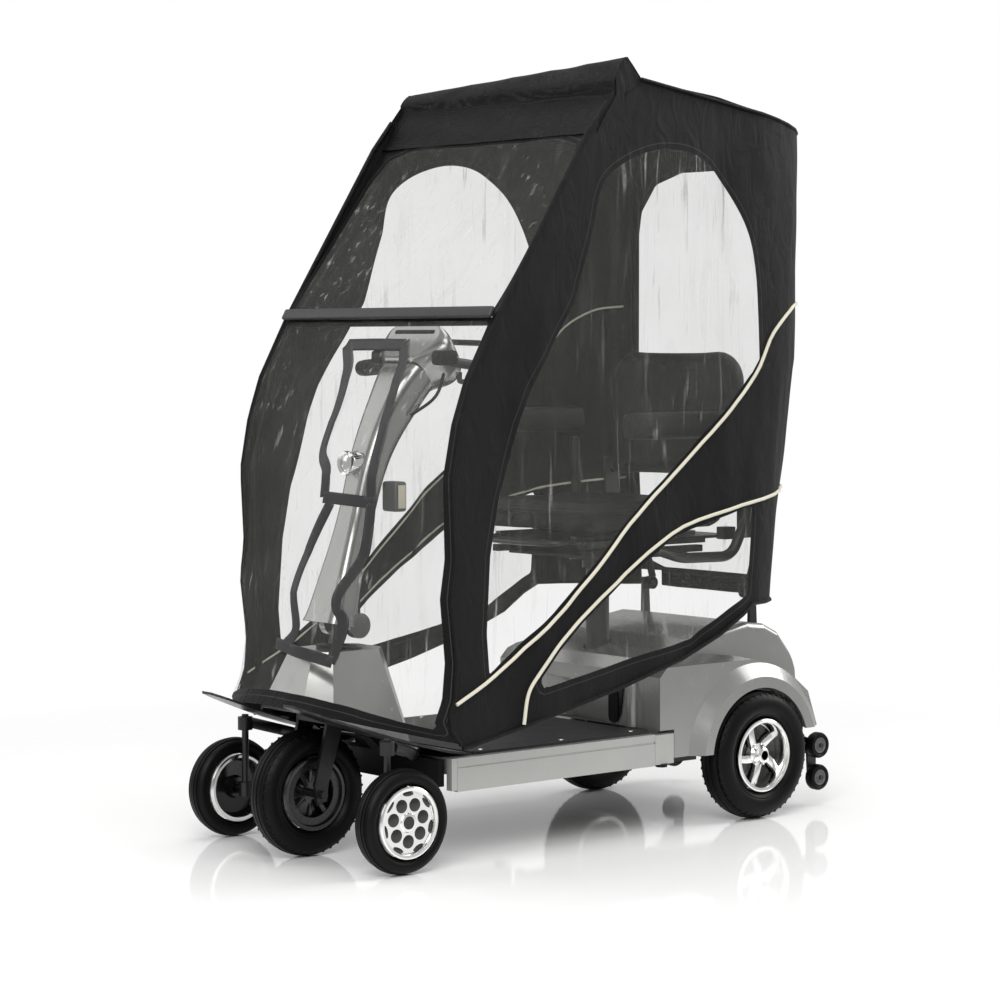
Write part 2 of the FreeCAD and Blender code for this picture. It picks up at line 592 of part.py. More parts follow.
def drive_and_power():
    """Batteries, drive axle, charging socket, anti-tip brackets, lights and canopy posts."""
    packs = [box("battery_left", (8.0, 300.0, 215.0), (150.0, 100.0, 150.0)),
             box("battery_right", (-158.0, 300.0, 215.0), (150.0, 100.0, 150.0))]
    case = Part.makeCylinder(24, 410, Vector(-205, dim("rear_axle_back"), 136), Vector(1, 0, 0))
    case = case.cut(DOC.getObject("main_frame").Shape)
    gear = Part.makeBox(70, 80, 92, Vector(-35, dim("rear_axle_back") - 40, 96))
    motor = Part.makeCylinder(38, 90, Vector(0, dim("rear_axle_back") + 38, 136), Vector(0, 1, 0))
    drive = case.fuse(gear).fuse(motor)
    for sign in (-1, 1):
        start = Vector(sign * 200, dim("rear_axle_back"), dim("rear_wheel_radius"))
        drive = drive.fuse(round_bar(start, start + Vector(sign * 84, 0, 0), 10.0))
    drive = drive.cut(DOC.getObject("main_frame").Shape)
    socket = rounded("charge_socket", box("socket_block", (104.0, 158.0, 214.0), (28.0, 5.6, 66.0)), 12.0,
                     lambda edge: edge.BoundBox.YLength > 5)
    bracket_shapes = []
    for sign in (-1, 1):
        strut = poly_solid([(0, 556, 150), (0, 556, 180), (0, 640, 150), (0, 672, 138), (0, 672, 56),
                            (0, 650, 56), (0, 646, 112)], (sign * 208.0 - 3.0, 0, 0), (6, 0, 0))
        for high in (132.0, 62.0):
            strut = strut.fuse(round_bar(Vector(sign * 206, 660, high), Vector(sign * 240, 660, high), 5.0))
        beam = Part.makeBox(104, 22, 22, Vector(105 if sign > 0 else -209, 560, 152))
        bracket_shapes.append(strut.fuse(beam))
    lights = []
    for sign in (-1, 1):
        lights.append(box("tail_light_" + ("left" if sign > 0 else "right"),
                          (sign * 165.0 - 30.0, 613.0, 205.0), (60.0, 10.0, 24.0)))
    mount = None
    for sign in (-1, 1):
        plate = poly_solid([(0, 505, 380), (0, 529, 368), (0, 523, 482), (0, 507, 482)],
                           (sign * 168.0 - 4.0, 0, 0), (8, 0, 0))
        pin = round_bar(Vector(sign * 176, dim("canopy_pivot_back"), dim("canopy_pivot_high")),
                        Vector(sign * 138, dim("canopy_pivot_back"), dim("canopy_pivot_high")), 6.0)
        plate = plate.fuse(pin)
        mount = plate if mount is None else mount.fuse(plate)
    DOC.recompute()
    body_solid = DOC.getObject("body_soft").Shape
    light_group = fuse("tail_light_blocks", lights)
    pieces = [
        fuse("battery_packs", packs),
        feature("transaxle", drive),
        socket,
        feature("anti_tip_brackets", bracket_shapes[0].fuse(bracket_shapes[1])
                .cut(DOC.getObject("main_frame").Shape)),
        cut("tail_lights", light_group, DOC.getObject("body_soft")),
        feature("canopy_bracket", mount.cut(body_solid)),
    ]
    return pieces


# ---- tiller -----------------------------------------------------------------

def loft_sections(sections):
    """A smooth loft through rounded rectangles: each is (y, z, half width, half depth, lean)."""
    wires = []
    for back, high, half, deep, lean in sections:
        radius = min(half, deep) * 0.6
        plate = Part.makePlane(2 * half, 2 * deep, Vector(-half, -deep, 0))
        wire = plate.OuterWire
        prism = Part.Face(wire).extrude(Vector(0, 0, 1))
        corners = [edge for edge in prism.Edges if edge.BoundBox.ZLength > 0.5]
        prism = prism.makeFillet(radius, corners)
        ring = [face for face in prism.Faces if abs(face.CenterOfMass.z) < 1e-6][0].OuterWire
        ring.rotate(Vector(), Vector(1, 0, 0), -lean)
        ring.translate(Vector(0, back, high))
        wires.append(ring)
    return Part.makeLoft(wires, True, False)


def tiller():
    """The tilting tiller: column, cover, head console, handlebar, grips and headlight."""
    column = tube_shape([(0, -470, 492), (0, -388, 770), (0, -262, 968)], 14.0, [90.0])
    yoke = Part.makeBox(64, 30, 64, Vector(-32, -467, 436))
    yoke = yoke.cut(Part.makeBox(44, 60, 44, Vector(-22, -480, 430)))
    column = column.fuse(yoke).fuse(Part.makeBox(40, 30, 20, Vector(-20, -484, 480)))
    pin_hole = round_bar(TILLER_PIVOT - Vector(50, 0, 0), TILLER_PIVOT + Vector(50, 0, 0), 7.6)
    column = column.cut(pin_hole)
    outer = loft_sections([(-490, 452, 56, 34, 12), (-474, 500, 48, 30, 16), (-446, 590, 38, 27, 17),
                           (-418, 680, 34, 27, 17), (-394, 760, 36, 29, 18), (-362, 830, 40, 34, 26),
                           (-322, 896, 50, 38, 34), (-290, 940, 62, 36, 40)])
    bore = loft_sections([(-492, 446, 50, 28, 12), (-474, 500, 42, 24, 16), (-446, 590, 32, 22, 17),
                          (-418, 680, 29, 22, 17), (-394, 760, 31, 24, 18), (-366, 822, 32, 26, 26)])
    head = loft_sections([(-290, 938, 62, 38, 52), (-266, 962, 98, 46, 58), (-252, 984, 104, 46, 60),
                          (-248, 1000, 92, 42, 60), (-247, 1010, 68, 34, 60)])
    bar_line = [(-dim("bar_side"), -214, 952), (-150, -226, 958), (-90, -262, 968), (90, -262, 968),
                (150, -226, 958), (dim("bar_side"), -214, 952)]
    bar = tube_shape(bar_line, 10.0, [30.0, 30.0, 30.0, 30.0])
    grips = None
    for sign in (-1, 1):
        inner_end = Vector(sign * 158, -225.1, 957.5)
        outer_end = Vector(sign * (dim("bar_side") + 4), -213.5, 951.8)
        grip = round_bar(inner_end, outer_end, 16.0)
        grips = grip if grips is None else grips.fuse(grip)
    lamp = Part.makeCylinder(23, 26, Vector(0, -444, 766), Vector(0, 1, 0.12))
    column = column.fuse(bar)
    cover = outer.cut(bore).cut(Part.makeBox(68, 80, 62, Vector(-34, -500, 430)))
    for sign in (-1, 1):
        cap = round_bar(TILLER_PIVOT + Vector(sign * 34, 0, 0), TILLER_PIVOT + Vector(sign * 52, 0, 0), 25.0)
        cover = cover.fuse(cap)
    cover = cover.cut(column).cut(lamp).cut(head)
    head = head.cut(column)
    for pocket in control_pockets():
        head = head.cut(pocket)
    grips = grips.cut(column)
    lamp = lamp.cut(bore)
    return [feature("tiller_frame", column), feature("tiller_cover", cover),
            feature("tiller_head", head), feature("handlebar_grips", grips),
            feature("headlight", lamp)]


HORN_FOOT = Vector(56, -262, 1012)
HORN_UP = Vector(0, 6, 10).normalize()
DIAL_FOOT = Vector(0, -262, 1013)
DIAL_UP = Vector(0, 10, 16).normalize()
KEY_FOOT = Vector(-56.5, -261, 1014)
THROTTLE_PIVOT = Vector(0, -213, 1018)
BRAKE_PIVOT = Vector(125, -262, 940)


def control_pockets():
    """The room in the head under the horn button, the speed dial and the key."""
    up = Vector(0, 0, 1)
    return [round_bar(HORN_FOOT - HORN_UP * 4.0, HORN_FOOT + HORN_UP * 30.0, 8.4),
            round_bar(DIAL_FOOT - DIAL_UP * 0.3, DIAL_FOOT + DIAL_UP * 30.0, 14.5),
            round_bar(KEY_FOOT - up * 0.3, KEY_FOOT + up * 30.0, 7.8)]


def controls():
    """The wig-wag throttle, brake lever, horn button, speed dial and ignition key."""
    up = Vector(0, 0, 1)
    paddle = tube_shape([(-96, -186, 1004), (0, -180, 1006), (96, -186, 1004)], 6.0, [200.0])
    paddle = paddle.fuse(round_bar(Vector(0, -181, 1006), Vector(0, -205, 1012), 5.0))
    throttle_up = Vector(0, 0.17, 0.985)
    paddle = paddle.fuse(round_bar(THROTTLE_PIVOT - throttle_up * 6, THROTTLE_PIVOT + throttle_up * 6, 9.0))
    lever = tube_shape([(196, -262, 930), (150, -280, 928), tuple(BRAKE_PIVOT)], 5.0, [12.0])
    lever = lever.fuse(round_bar(BRAKE_PIVOT - up * 7, BRAKE_PIVOT + up * 7, 6.5))
    button = round_bar(HORN_FOOT, HORN_FOOT + HORN_UP * 10.8, 8.0)
    dial = round_bar(DIAL_FOOT, DIAL_FOOT + DIAL_UP * 18.9, 14.0)
    blade = Part.makeBox(3, 14, 18, KEY_FOOT + Vector(-1.5, -7, 8))
    key = round_bar(KEY_FOOT, KEY_FOOT + up * 10.0, 6.0).fuse(blade)
    return [feature("throttle_paddle", paddle), feature("brake_lever", lever),
            feature("horn_button", button), feature("speed_dial", dial),
            feature("ignition_key", key)]


# ---- seat -------------------------------------------------------------------

BACK_PIVOT = (450.0, 722.0)


def seat():
    """Swivel head and slide, cushion, folding backrest, lifting armrests and a lever."""
    back = dim("swivel_back")
    swivel = Part.makeCylinder(60, 10, Vector(0, back, 547))
    swivel = swivel.fuse(Part.makeCylinder(33, 30, Vector(0, back, 528)))
    swivel = swivel.cut(Part.makeCylinder(25.4, 40, Vector(0, back, 520)))
    swivel = swivel.fuse(Part.makeBox(300, 240, 6, Vector(-150, back - 120, 557)))
    for sign in (-1, 1):
        swivel = swivel.fuse(Part.makeBox(20, 330, 14, Vector(sign * 140 - 10, back - 165, 563)))
    frame = Part.makeBox(340, 380, 6, Vector(-170, back - 190, 592))
    for sign in (-1, 1):
        frame = frame.fuse(Part.makeBox(26, 340, 10, Vector(sign * 140 - 13, back - 170, 582)))
        frame = frame.fuse(Part.makeBox(26, 30, 26, Vector(sign * 190 - 13, 400, 590)))
        ear = Part.makeBox(6, 44, 158, Vector(sign * 210 - 3, 430, 592))
        frame = frame.fuse(ear).fuse(Part.makeBox(50, 44, 6, Vector(sign * 190 - 25, 430, 592)))
        frame = frame.fuse(Part.makeBox(340, 46, 6, Vector(-170, 405, 592)))
        tube = tube_shape([(sign * 160, 190, 588), (sign * 236, 240, 560), (sign * 262, 360, 560),
                           (sign * 268, 398, 640), (sign * 268, 392, 796)], 11.0, [40.0, 40.0, 50.0])
        frame = frame.fuse(tube)
        frame = frame.cut(round_bar(Vector(sign * 190, *BACK_PIVOT), Vector(sign * 230, *BACK_PIVOT), 6.5))
    cushion_block = box("cushion_block", ("-Dims.cushion_side", 5.0, "Dims.cushion_low"),
                        ("2 * Dims.cushion_side", 420.0, "Dims.cushion_high - Dims.cushion_low"))
    cushion = rounded("seat_cushion", cushion_block, 18.0, lambda edge: True)
    pad = poly_solid([(0, 420, 704), (0, 476, 700), (0, 484, 990), (0, 470, 1004), (0, 452, 1004),
                      (0, 436, 990)], (-dim("pad_side"), 0, 0), (2 * dim("pad_side"), 0, 0))
    pad = pad.makeFillet(14.0, [e for e in pad.Edges if e.BoundBox.ZLength > 250
                                and e.BoundBox.YMax > 478])
    face = Part.makeBox(2 * dim("pad_side"), 120, 340, Vector(-dim("pad_side"), 400, 664))
    pad = pad.common(face.makeFillet(62.0, [e for e in face.Edges if e.BoundBox.YLength > 100
                                            and e.BoundBox.ZMin > 900]))
    for sign in (-1, 1):
        pad = pad.fuse(round_bar(Vector(sign * 195, *BACK_PIVOT), Vector(sign * 213, *BACK_PIVOT), 6.0))
    arms = []
    for side, sign in (("left", 1), ("right", -1)):
        rest = Part.makeBox(44, 300, 34, Vector(sign * 268 - 22, 55, 832))
        rest = rest.makeFillet(12.0, [e for e in rest.Edges if e.BoundBox.ZLength > 30])
        rest = rest.fuse(Part.makeBox(26, 110, 12, Vector(sign * 268 - 13, 300, 820)))
        rest = rest.fuse(Part.makeCylinder(13, 26, Vector(sign * 268 - 13, 400, 820), Vector(1, 0, 0)))
        arms.append(feature("armrest_" + side, rest))
    handle = tube_shape([(158, 108, 570), (196, 60, 560), (226, 20, 552)], 5.0, [30.0])
    handle = handle.fuse(round_bar(Vector(150.5, 110, 570), Vector(164, 110, 570), 6.5))
    return [feature("seat_swivel", swivel), feature("seat_frame", frame), cushion,
            feature("backrest", pad)] + arms + [feature("swivel_lever", handle)]


# ---- canopy -----------------------------------------------------------------

PILLAR = [(300, -446), (380, -449), (480, -453), (600, -456), (700, -457), (800, -448), (880, -432),
          (950, -408), (1052, -350)]
NOSE_BULGE = 168.0
REAR_RADIUS = 247.0


def pillar_front(height):
    """Front edge of the canopy's side at a height, between the hem and the crossbar."""
    for (low, first), (high, second) in zip(PILLAR, PILLAR[1:]):
        if height <= high:
            return first + (second - first) * (height - low) / (high - low)
    return PILLAR[-1][1]


def rear_edge(height):
    """Rearmost line of the canopy at a height."""
    share = min(1.0, max(0.0, (height - 467.0) / (969.0 - 467.0)))
    return 538.0 + 73.0 * share


ROOF_LINE = [(25, 1520), (242, 1493), (443, 1458), (615, 1433)]


def roof_underside(back):
    """Height of the roof's underside at a place along Y."""
    for (first, high), (second, low) in zip(ROOF_LINE, ROOF_LINE[1:]):
        if back <= second:
            return high + (low - high) * (back - first) / (second - first)
    return ROOF_LINE[-1][1]


def canopy():
    """The pole frame and seven fabric panels that close the cabin down to a raised hem."""
    half = dim("canopy_side")
    skin = dim("canopy_skin")
    frame = None
    for sign in (-1, 1):
        hoop = tube_shape([(sign * 326, -430, 330), (sign * 326, -440, 760), (sign * 326, -394, 945),
                           (sign * 326, -338, 1045), (sign * 326, -62, 1408), (sign * 326, 2, 1494),
                           (sign * 326, 380, 1442)], 8.0, [150.0, 120.0, 80.0, 60.0, 50.0])
        upright = tube_shape([(sign * 150, dim("canopy_pivot_back") + 6, 482), (sign * 240, 520, 760),
                              (sign * 240, 550, 969), (sign * 240, 550, 1370), (sign * 240, 380, 1442)],
                             8.0, [120.0, 150.0, 60.0])
        lug = round_bar(Vector(sign * 141, dim("canopy_pivot_back"), dim("canopy_pivot_high")),
                        Vector(sign * 159, dim("canopy_pivot_back"), dim("canopy_pivot_high")), 14.0)
        bore = round_bar(Vector(sign * 130, dim("canopy_pivot_back"), dim("canopy_pivot_high")),
                         Vector(sign * 170, dim("canopy_pivot_back"), dim("canopy_pivot_high")), 6.6)
        side_frame = hoop.fuse(upright).fuse(lug).cut(bore)
        frame = side_frame if frame is None else frame.fuse(side_frame)
    for back, high in ((-338, 1045), (2, 1494), (380, 1442)):
        frame = frame.fuse(round_bar(Vector(-326, back, high), Vector(326, back, high), 8.0))
    pieces = [feature("canopy_frame", frame)]

    seam = rear_edge(969.0) - REAR_RADIUS - 0.5
    side_outline = [(-446, 300), (-430, 237), (-283, 263), (-14, 325), (141, 368), (248, 408),
                    (290, 430), (rear_edge(467.0) - REAR_RADIUS, 467), (seam, 969),
                    (seam, roof_underside(seam) - 1), (242, 1491), (30, 1515), (-26, 1498),
                    (-90, 1412), (-350, 1052)]
    side_outline += [(edge, height) for height, edge in reversed(PILLAR[1:-1])]
    for side, low in (("left", half - skin), ("right", -half)):
        flat = poly_solid([(0, back, high) for back, high in side_outline], (low, 0, 0), (skin, 0, 0))
        pieces.append(feature("canopy_side_" + side, flat))

    def slab(label, outline):
        width = 2 * (half - skin - 0.2)
        return feature(label, poly_solid([(0, back, high) for back, high in outline],
                                         (-width / 2, 0, 0), (width, 0, 0)))

    pieces.append(slab("canopy_windscreen", [(-350, 1054), (-347, 1052), (-87, 1412), (-90, 1414)]))
    pieces.append(slab("canopy_brow", [(-90, 1416), (-86, 1414), (-32, 1492), (20, 1524), (30, 1519),
                                       (30, 1524), (-10, 1566), (-18, 1566), (-40, 1520)]))

    heights = [300, 380, 480, 600, 700, 800, 880, 950, 1048]
    rows = []
    pushes = []
    for height in heights:
        edge = pillar_front(height)
        bulge = NOSE_BULGE * (1052.0 - height) / 752.0
        row = []
        for n in range(13):
            side = (half - skin - 0.2) * (n / 6.0 - 1.0)
            drop = (-52.0 * (abs(side) / half) ** 4) if height == 300 else 0.0
            row.append(Vector(side, edge - bulge * (1.0 - (side / half) ** 2), height + drop))
        rows.append(row)
        pushes.append([Vector(0, skin, 0)] * 13)
    pieces.append(feature("canopy_front_flap", skin_solid(rows, pushes)))

    rows = []
    pushes = []
    for height in (467, 600, 730, 860, 969, 1120, 1280, 1432):
        back = rear_edge(height)
        row = [Vector(half, back - REAR_RADIUS + 0.4, height)]
        middle = half - REAR_RADIUS
        for n in range(1, 8):
            angle = math.radians(90.0 * n / 7.0)
            row.append(Vector(middle + REAR_RADIUS * math.cos(angle),
                              back - REAR_RADIUS + REAR_RADIUS * math.sin(angle), height))
        row += [Vector(-point.x, point.y, point.z) for point in reversed(row)]
        if height > 1400:
            row = [Vector(point.x, point.y, roof_underside(point.y) - 1) for point in row]
        push = []
        for point in row:
            if abs(point.x) > half - 0.1:
                push.append(Vector(-math.copysign(skin, point.x), 0, 0))
            else:
                inward = Vector(math.copysign(middle, point.x) - point.x,
                                back - REAR_RADIUS - point.y, 0)
                push.append(inward.normalize() * skin)
        rows.append(row)
        pushes.append(push)
    rear = skin_solid(rows, pushes)
    for sign in (-1, 1):
        rear = rear.cut(Part.makeBox(46, 60, 44, Vector(sign * 160 - 23, 500, 456)))
    for side in ("left", "right"):
        panel = DOC.getObject("canopy_side_" + side)
        panel.Shape = panel.Shape.cut(rear)
    pieces.append(feature("canopy_rear", rear))

    width = half - skin - 0.2
    plan = [Vector(-width, 31, 1420), Vector(width, 31, 1420), Vector(width, 355, 1420)]
    for n in range(1, 7):
        angle = math.radians(90.0 * n / 7.0)
        plan.append(Vector(half - REAR_RADIUS + (REAR_RADIUS - 4) * math.cos(angle),
                           361 + (REAR_RADIUS - 4) * math.sin(angle), 1420))
    plan += [Vector(-p.x, p.y, p.z) for p in reversed(plan[3:])]
    plan.append(Vector(-width, 355, 1420))
    under = [(0, back, high) for back, high in ROOF_LINE]
    over = [(0, back, high + 4) for back, high in reversed(ROOF_LINE)]
    wedge = poly_solid(under + over, (-350, 0, 0), (700, 0, 0))
    block = Part.Face(Part.makePolygon(plan + [plan[0]])).extrude(Vector(0, 0, 140))
    pieces.append(feature("canopy_roof", block.common(wedge)))
    return pieces


# ---- build, check and write ---------------------------------------------------

def build():
    """Make every sub-part and return them in order."""
    pieces = [main_frame()]
    DOC.recompute()
    pieces += deck()
    DOC.recompute()
    for side, sign in (("left", 1), ("right", -1)):
        pieces.append(foot_board(side, sign))
    pieces.append(nose_cowl())
    pieces.append(front_undertray())
    pieces += rear_covers()
    pieces += drive_and_power()
    pieces += steering()
    pieces += wheels()
    pieces += tiller()
    pieces += controls()
    pieces += seat()
    pieces += canopy()
    return pieces


def write(pieces):
    """Check every object of the document, then write one file for each sub-part."""
    DOC.recompute()
    for item in DOC.Objects:
        if "Invalid" in item.State or "Error" in item.State:
            raise RuntimeError("%s failed: %s" % (item.Label, item.State))
    os.makedirs("parts", exist_ok=True)
    for item in pieces:
        shape = item.Shape
        if shape.isNull() or not shape.isValid() or shape.Volume < 1.0:
            raise RuntimeError("%s has no valid solid" % item.Label)
        shape.exportStep("parts/%s.step" % item.Label)


write(build())
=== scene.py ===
"""Looks of a mobility scooter with a weather canopy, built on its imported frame.

Metres, in the part's own frame: +X to the rider's left, +Y to the rear, +Z up.
"""
import logging
import math
from dataclasses import dataclass
from enum import Enum
from typing import Callable, Optional, Sequence, Union

import bmesh
import bpy
import numpy as np
from mathutils import Matrix, Vector, noise


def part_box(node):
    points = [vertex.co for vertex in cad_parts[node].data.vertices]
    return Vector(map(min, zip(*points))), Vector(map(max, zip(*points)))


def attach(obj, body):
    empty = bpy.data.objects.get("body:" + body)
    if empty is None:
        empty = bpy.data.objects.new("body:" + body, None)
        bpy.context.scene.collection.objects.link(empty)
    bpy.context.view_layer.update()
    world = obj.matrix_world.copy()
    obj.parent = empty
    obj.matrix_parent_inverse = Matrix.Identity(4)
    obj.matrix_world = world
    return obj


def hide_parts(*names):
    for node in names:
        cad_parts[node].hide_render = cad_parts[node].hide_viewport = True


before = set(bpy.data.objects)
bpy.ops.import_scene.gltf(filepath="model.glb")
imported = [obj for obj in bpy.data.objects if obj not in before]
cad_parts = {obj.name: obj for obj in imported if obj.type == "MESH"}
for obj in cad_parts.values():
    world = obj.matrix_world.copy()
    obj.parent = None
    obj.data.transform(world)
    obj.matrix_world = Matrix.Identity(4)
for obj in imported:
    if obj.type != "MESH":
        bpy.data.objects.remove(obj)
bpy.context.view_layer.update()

log = logging.getLogger("scooter")
Colour = tuple[float, float, float]
Line = list[tuple[float, float]]
Place = tuple[float, float, float]
Number = Union["Signal", float]


# ---- shader tools -------------------------------------------------------------

class Signal:
    """A shader socket that Python's operators work on by adding nodes."""

    def __init__(self, recipe: "Recipe", socket: bpy.types.NodeSocket) -> None:
        """Wrap a socket of a recipe."""
        self.recipe = recipe
        self.socket = socket

    def maths(self, operation: str, *values: Number) -> "Signal":
        """Add one Math node.

        Args:
            operation: the Math node's operation.
            values: its inputs in order.

        Returns:
            The node's result.
        """
        return self.recipe.node("ShaderNodeMath", {"operation": operation}, dict(enumerate(values)))

    def __add__(self, other: Number) -> "Signal":
        """Add."""
        return self.maths("ADD", self, other)

    __radd__ = __add__

    def __sub__(self, other: Number) -> "Signal":
        """Subtract."""
        return self.maths("SUBTRACT", self, other)

    def __rsub__(self, other: Number) -> "Signal":
        """Subtract from a number."""
        return self.maths("SUBTRACT", other, self)

    def __mul__(self, other: Number) -> "Signal":
        """Multiply."""
        return self.maths("MULTIPLY", self, other)

    __rmul__ = __mul__

    def __gt__(self, other: Number) -> "Signal":
        """One where this is greater."""
        return self.maths("GREATER_THAN", self, other)

    def clamped(self) -> "Signal":
        """Hold the value between 0 and 1."""
        return self.maths("MINIMUM", self.maths("MAXIMUM", self, 0.0), 1.0)

    def ramp(self, low: float, high: float) -> "Signal":
        """Stretch low..high to 0..1 and clamp it."""
        return ((self - low) * (1.0 / (high - low))).clamped()


class Recipe:
    """The node tree of one material."""

    def __init__(self, name: str) -> None:
        """Start an empty material of that name."""
        self.material = bpy.data.materials.new(name)
        self.material.use_nodes = True
        self.tree = self.material.node_tree
        self.tree.nodes.clear()
        self.places = self.node("ShaderNodeTexCoord", output=3)

    def node(self, kind: str, settings: Optional[dict] = None, inputs: Optional[dict] = None,
             output: int = 0) -> Signal:
        """Add a node.

        Args:
            kind: the node's type.
            settings: properties, set before the sockets.
            inputs: values or links by socket name or number.
            output: which output to return.

        Returns:
            That output.
        """
        node = self.tree.nodes.new(kind)
        for key, value in (settings or {}).items():
            setattr(node, key, value)
        for key, value in (inputs or {}).items():
            if isinstance(value, Signal):
                self.tree.links.new(value.socket, node.inputs[key])
            else:
                node.inputs[key].default_value = value
        return Signal(self, node.outputs[output])

    def mix(self, factor: Number, first: object, second: object) -> Signal:
        """Mix two colours by a factor."""
        ends = [end if isinstance(end, Signal) else (*end, 1.0) for end in (first, second)]
        return self.node("ShaderNodeMix", {"data_type": "RGBA"}, {0: factor, 6: ends[0], 7: ends[1]}, 2)

    def stretched(self, scale: Place) -> Signal:
        """Object places scaled on each axis."""
        return self.node("ShaderNodeMapping", None, {"Vector": self.places, "Scale": scale})

    def cloud(self, pitch: float, detail: float = 3.0, where: Optional[Signal] = None,
              distortion: float = 0.0) -> Signal:
        """Soft noise whose patches are about pitch metres across."""
        return self.node("ShaderNodeTexNoise", None, {
            "Vector": where or self.places, "Scale": 1.0 / pitch, "Detail": detail,
            "Distortion": distortion})

    def cells(self, pitch: float, feature: str = "F1") -> Signal:
        """Cell distances of cells about pitch metres across."""
        return self.node("ShaderNodeTexVoronoi", {"feature": feature},
                         {"Vector": self.places, "Scale": 1.0 / pitch})

    def bands(self, pitch: float, axis: str, where: Optional[Signal] = None) -> Signal:
        """Even ribs pitch metres apart along an axis."""
        return self.node("ShaderNodeTexWave", {"bands_direction": axis, "wave_profile": "SIN"},
                         {"Vector": where or self.places, "Scale": 0.3142 / pitch}, 1)

    def attribute(self, name: str) -> Signal:
        """A number kept on the mesh."""
        return self.node("ShaderNodeAttribute", {"attribute_name": name}, None, 2)

    def finish(self, settings: dict) -> bpy.types.Material:
        """Close the tree with a Principled shader."""
        shader = self.node("ShaderNodeBsdfPrincipled", None, settings)
        output = self.tree.nodes.new("ShaderNodeOutputMaterial")
        self.tree.links.new(shader.socket, output.inputs["Surface"])
        return self.material


@dataclass(frozen=True)
class Finish:
    """A plain moulded or painted finish: tone patches, grain and uneven gloss."""
    name: str
    colour: Colour
    roughness: float = 0.5
    metallic: float = 0.0
    coat: float = 0.0
    sheen: float = 0.0
    specular: float = 0.5
    mottle: float = 0.15
    patch: float = 0.06
    grain: float = 0.0001
    pitch: float = 0.002

    def shade(self, recipe: Recipe) -> Union[Signal, tuple]:
        """The base colour."""
        dark = tuple(part * (1.0 - self.mottle) for part in self.colour)
        return recipe.mix(recipe.cloud(self.patch), dark, self.colour)

    def relief(self, recipe: Recipe) -> Signal:
        """The surface height from 0 to 1."""
        return recipe.cloud(self.pitch, 2.0)

    def extras(self, recipe: Recipe) -> dict:
        """More shader sockets of this finish."""
        return {}

    def material(self) -> bpy.types.Material:
        """Make the material, or return the one made before."""
        label = self.name + "_finish"
        found = bpy.data.materials.get(label)
        if found:
            return found
        recipe = Recipe(label)
        gloss = recipe.cloud(self.patch * 0.5) * 0.16 + (self.roughness - 0.08)
        bump = recipe.node("ShaderNodeBump", None, {
            "Strength": 0.9, "Distance": self.grain, "Height": self.relief(recipe)})
        settings = {
            "Base Color": self.shade(recipe), "Roughness": gloss.clamped(), "Metallic": self.metallic,
            "Normal": bump, "Coat Weight": self.coat, "Coat Roughness": 0.08,
            "Sheen Weight": self.sheen, "Specular IOR Level": self.specular}
        settings.update(self.extras(recipe))
        return recipe.finish(settings)


@dataclass(frozen=True)
class FlakePaint(Finish):
    """Metallic paint: fine bright and dark flakes under a clear coat."""

    def shade(self, recipe: Recipe) -> Signal:
        """Patches of tone with flakes over them."""
        body = Finish.shade(self, recipe)
        bright = tuple(min(1.0, part * 1.10) for part in self.colour)
        return recipe.mix(recipe.cloud(0.0011, 1.0).ramp(0.5, 0.8), body, bright)

    def relief(self, recipe: Recipe) -> Signal:
        """The slow ripple of sprayed lacquer."""
        return recipe.cloud(0.014, 1.0) * 0.8 + recipe.cloud(0.0015, 1.0) * 0.2


@dataclass(frozen=True)
class Leathercloth(Finish):
    """Grained upholstery vinyl."""

    def relief(self, recipe: Recipe) -> Signal:
        """Grain cells between fine valleys, over soft creases."""
        grain = recipe.cells(self.pitch, "DISTANCE_TO_EDGE").ramp(0.0, 0.35)
        return grain * 0.45 + recipe.cloud(0.035, 3.0, distortion=0.8) * 1.6


@dataclass(frozen=True)
class Ribbed(Finish):
    """Rubber matting with ribs along the deck."""
    axis: str = "X"

    def relief(self, recipe: Recipe) -> Signal:
        """Rounded ribs with a little grain."""
        return recipe.bands(self.pitch, self.axis) + recipe.cloud(0.001, 1.0) * 0.1

    def shade(self, recipe: Recipe) -> Signal:
        """Dust sits between the ribs."""
        dusty = tuple(part * 1.9 + 0.01 for part in self.colour)
        return recipe.mix(recipe.bands(self.pitch, self.axis).ramp(0.35, 0.0), self.colour, dusty)


@dataclass(frozen=True)
class Brushed(Finish):
    """Bare metal with fine turning lines and small scuffs."""

    def relief(self, recipe: Recipe) -> Signal:
        """Long fine scratches."""
        return recipe.cloud(self.pitch, 4.0, recipe.stretched((1.0, 1.0, 9.0)))


@dataclass(frozen=True)
class Woven(Finish):
    """Tape, piping or coated cloth with a plain weave."""
    puckers: float = 0.0

    def relief(self, recipe: Recipe) -> Signal:
        """Crossing threads over broad puckers."""
        weave = recipe.bands(self.pitch, "Y") * recipe.bands(self.pitch, "Z")
        creases_and_painted_glints = recipe.cloud(0.045, 4.0, recipe.stretched((1.0, 1.0, 0.55)), 1.4)
        return weave * 0.12 + creases_and_painted_glints * (0.2 + self.puckers)


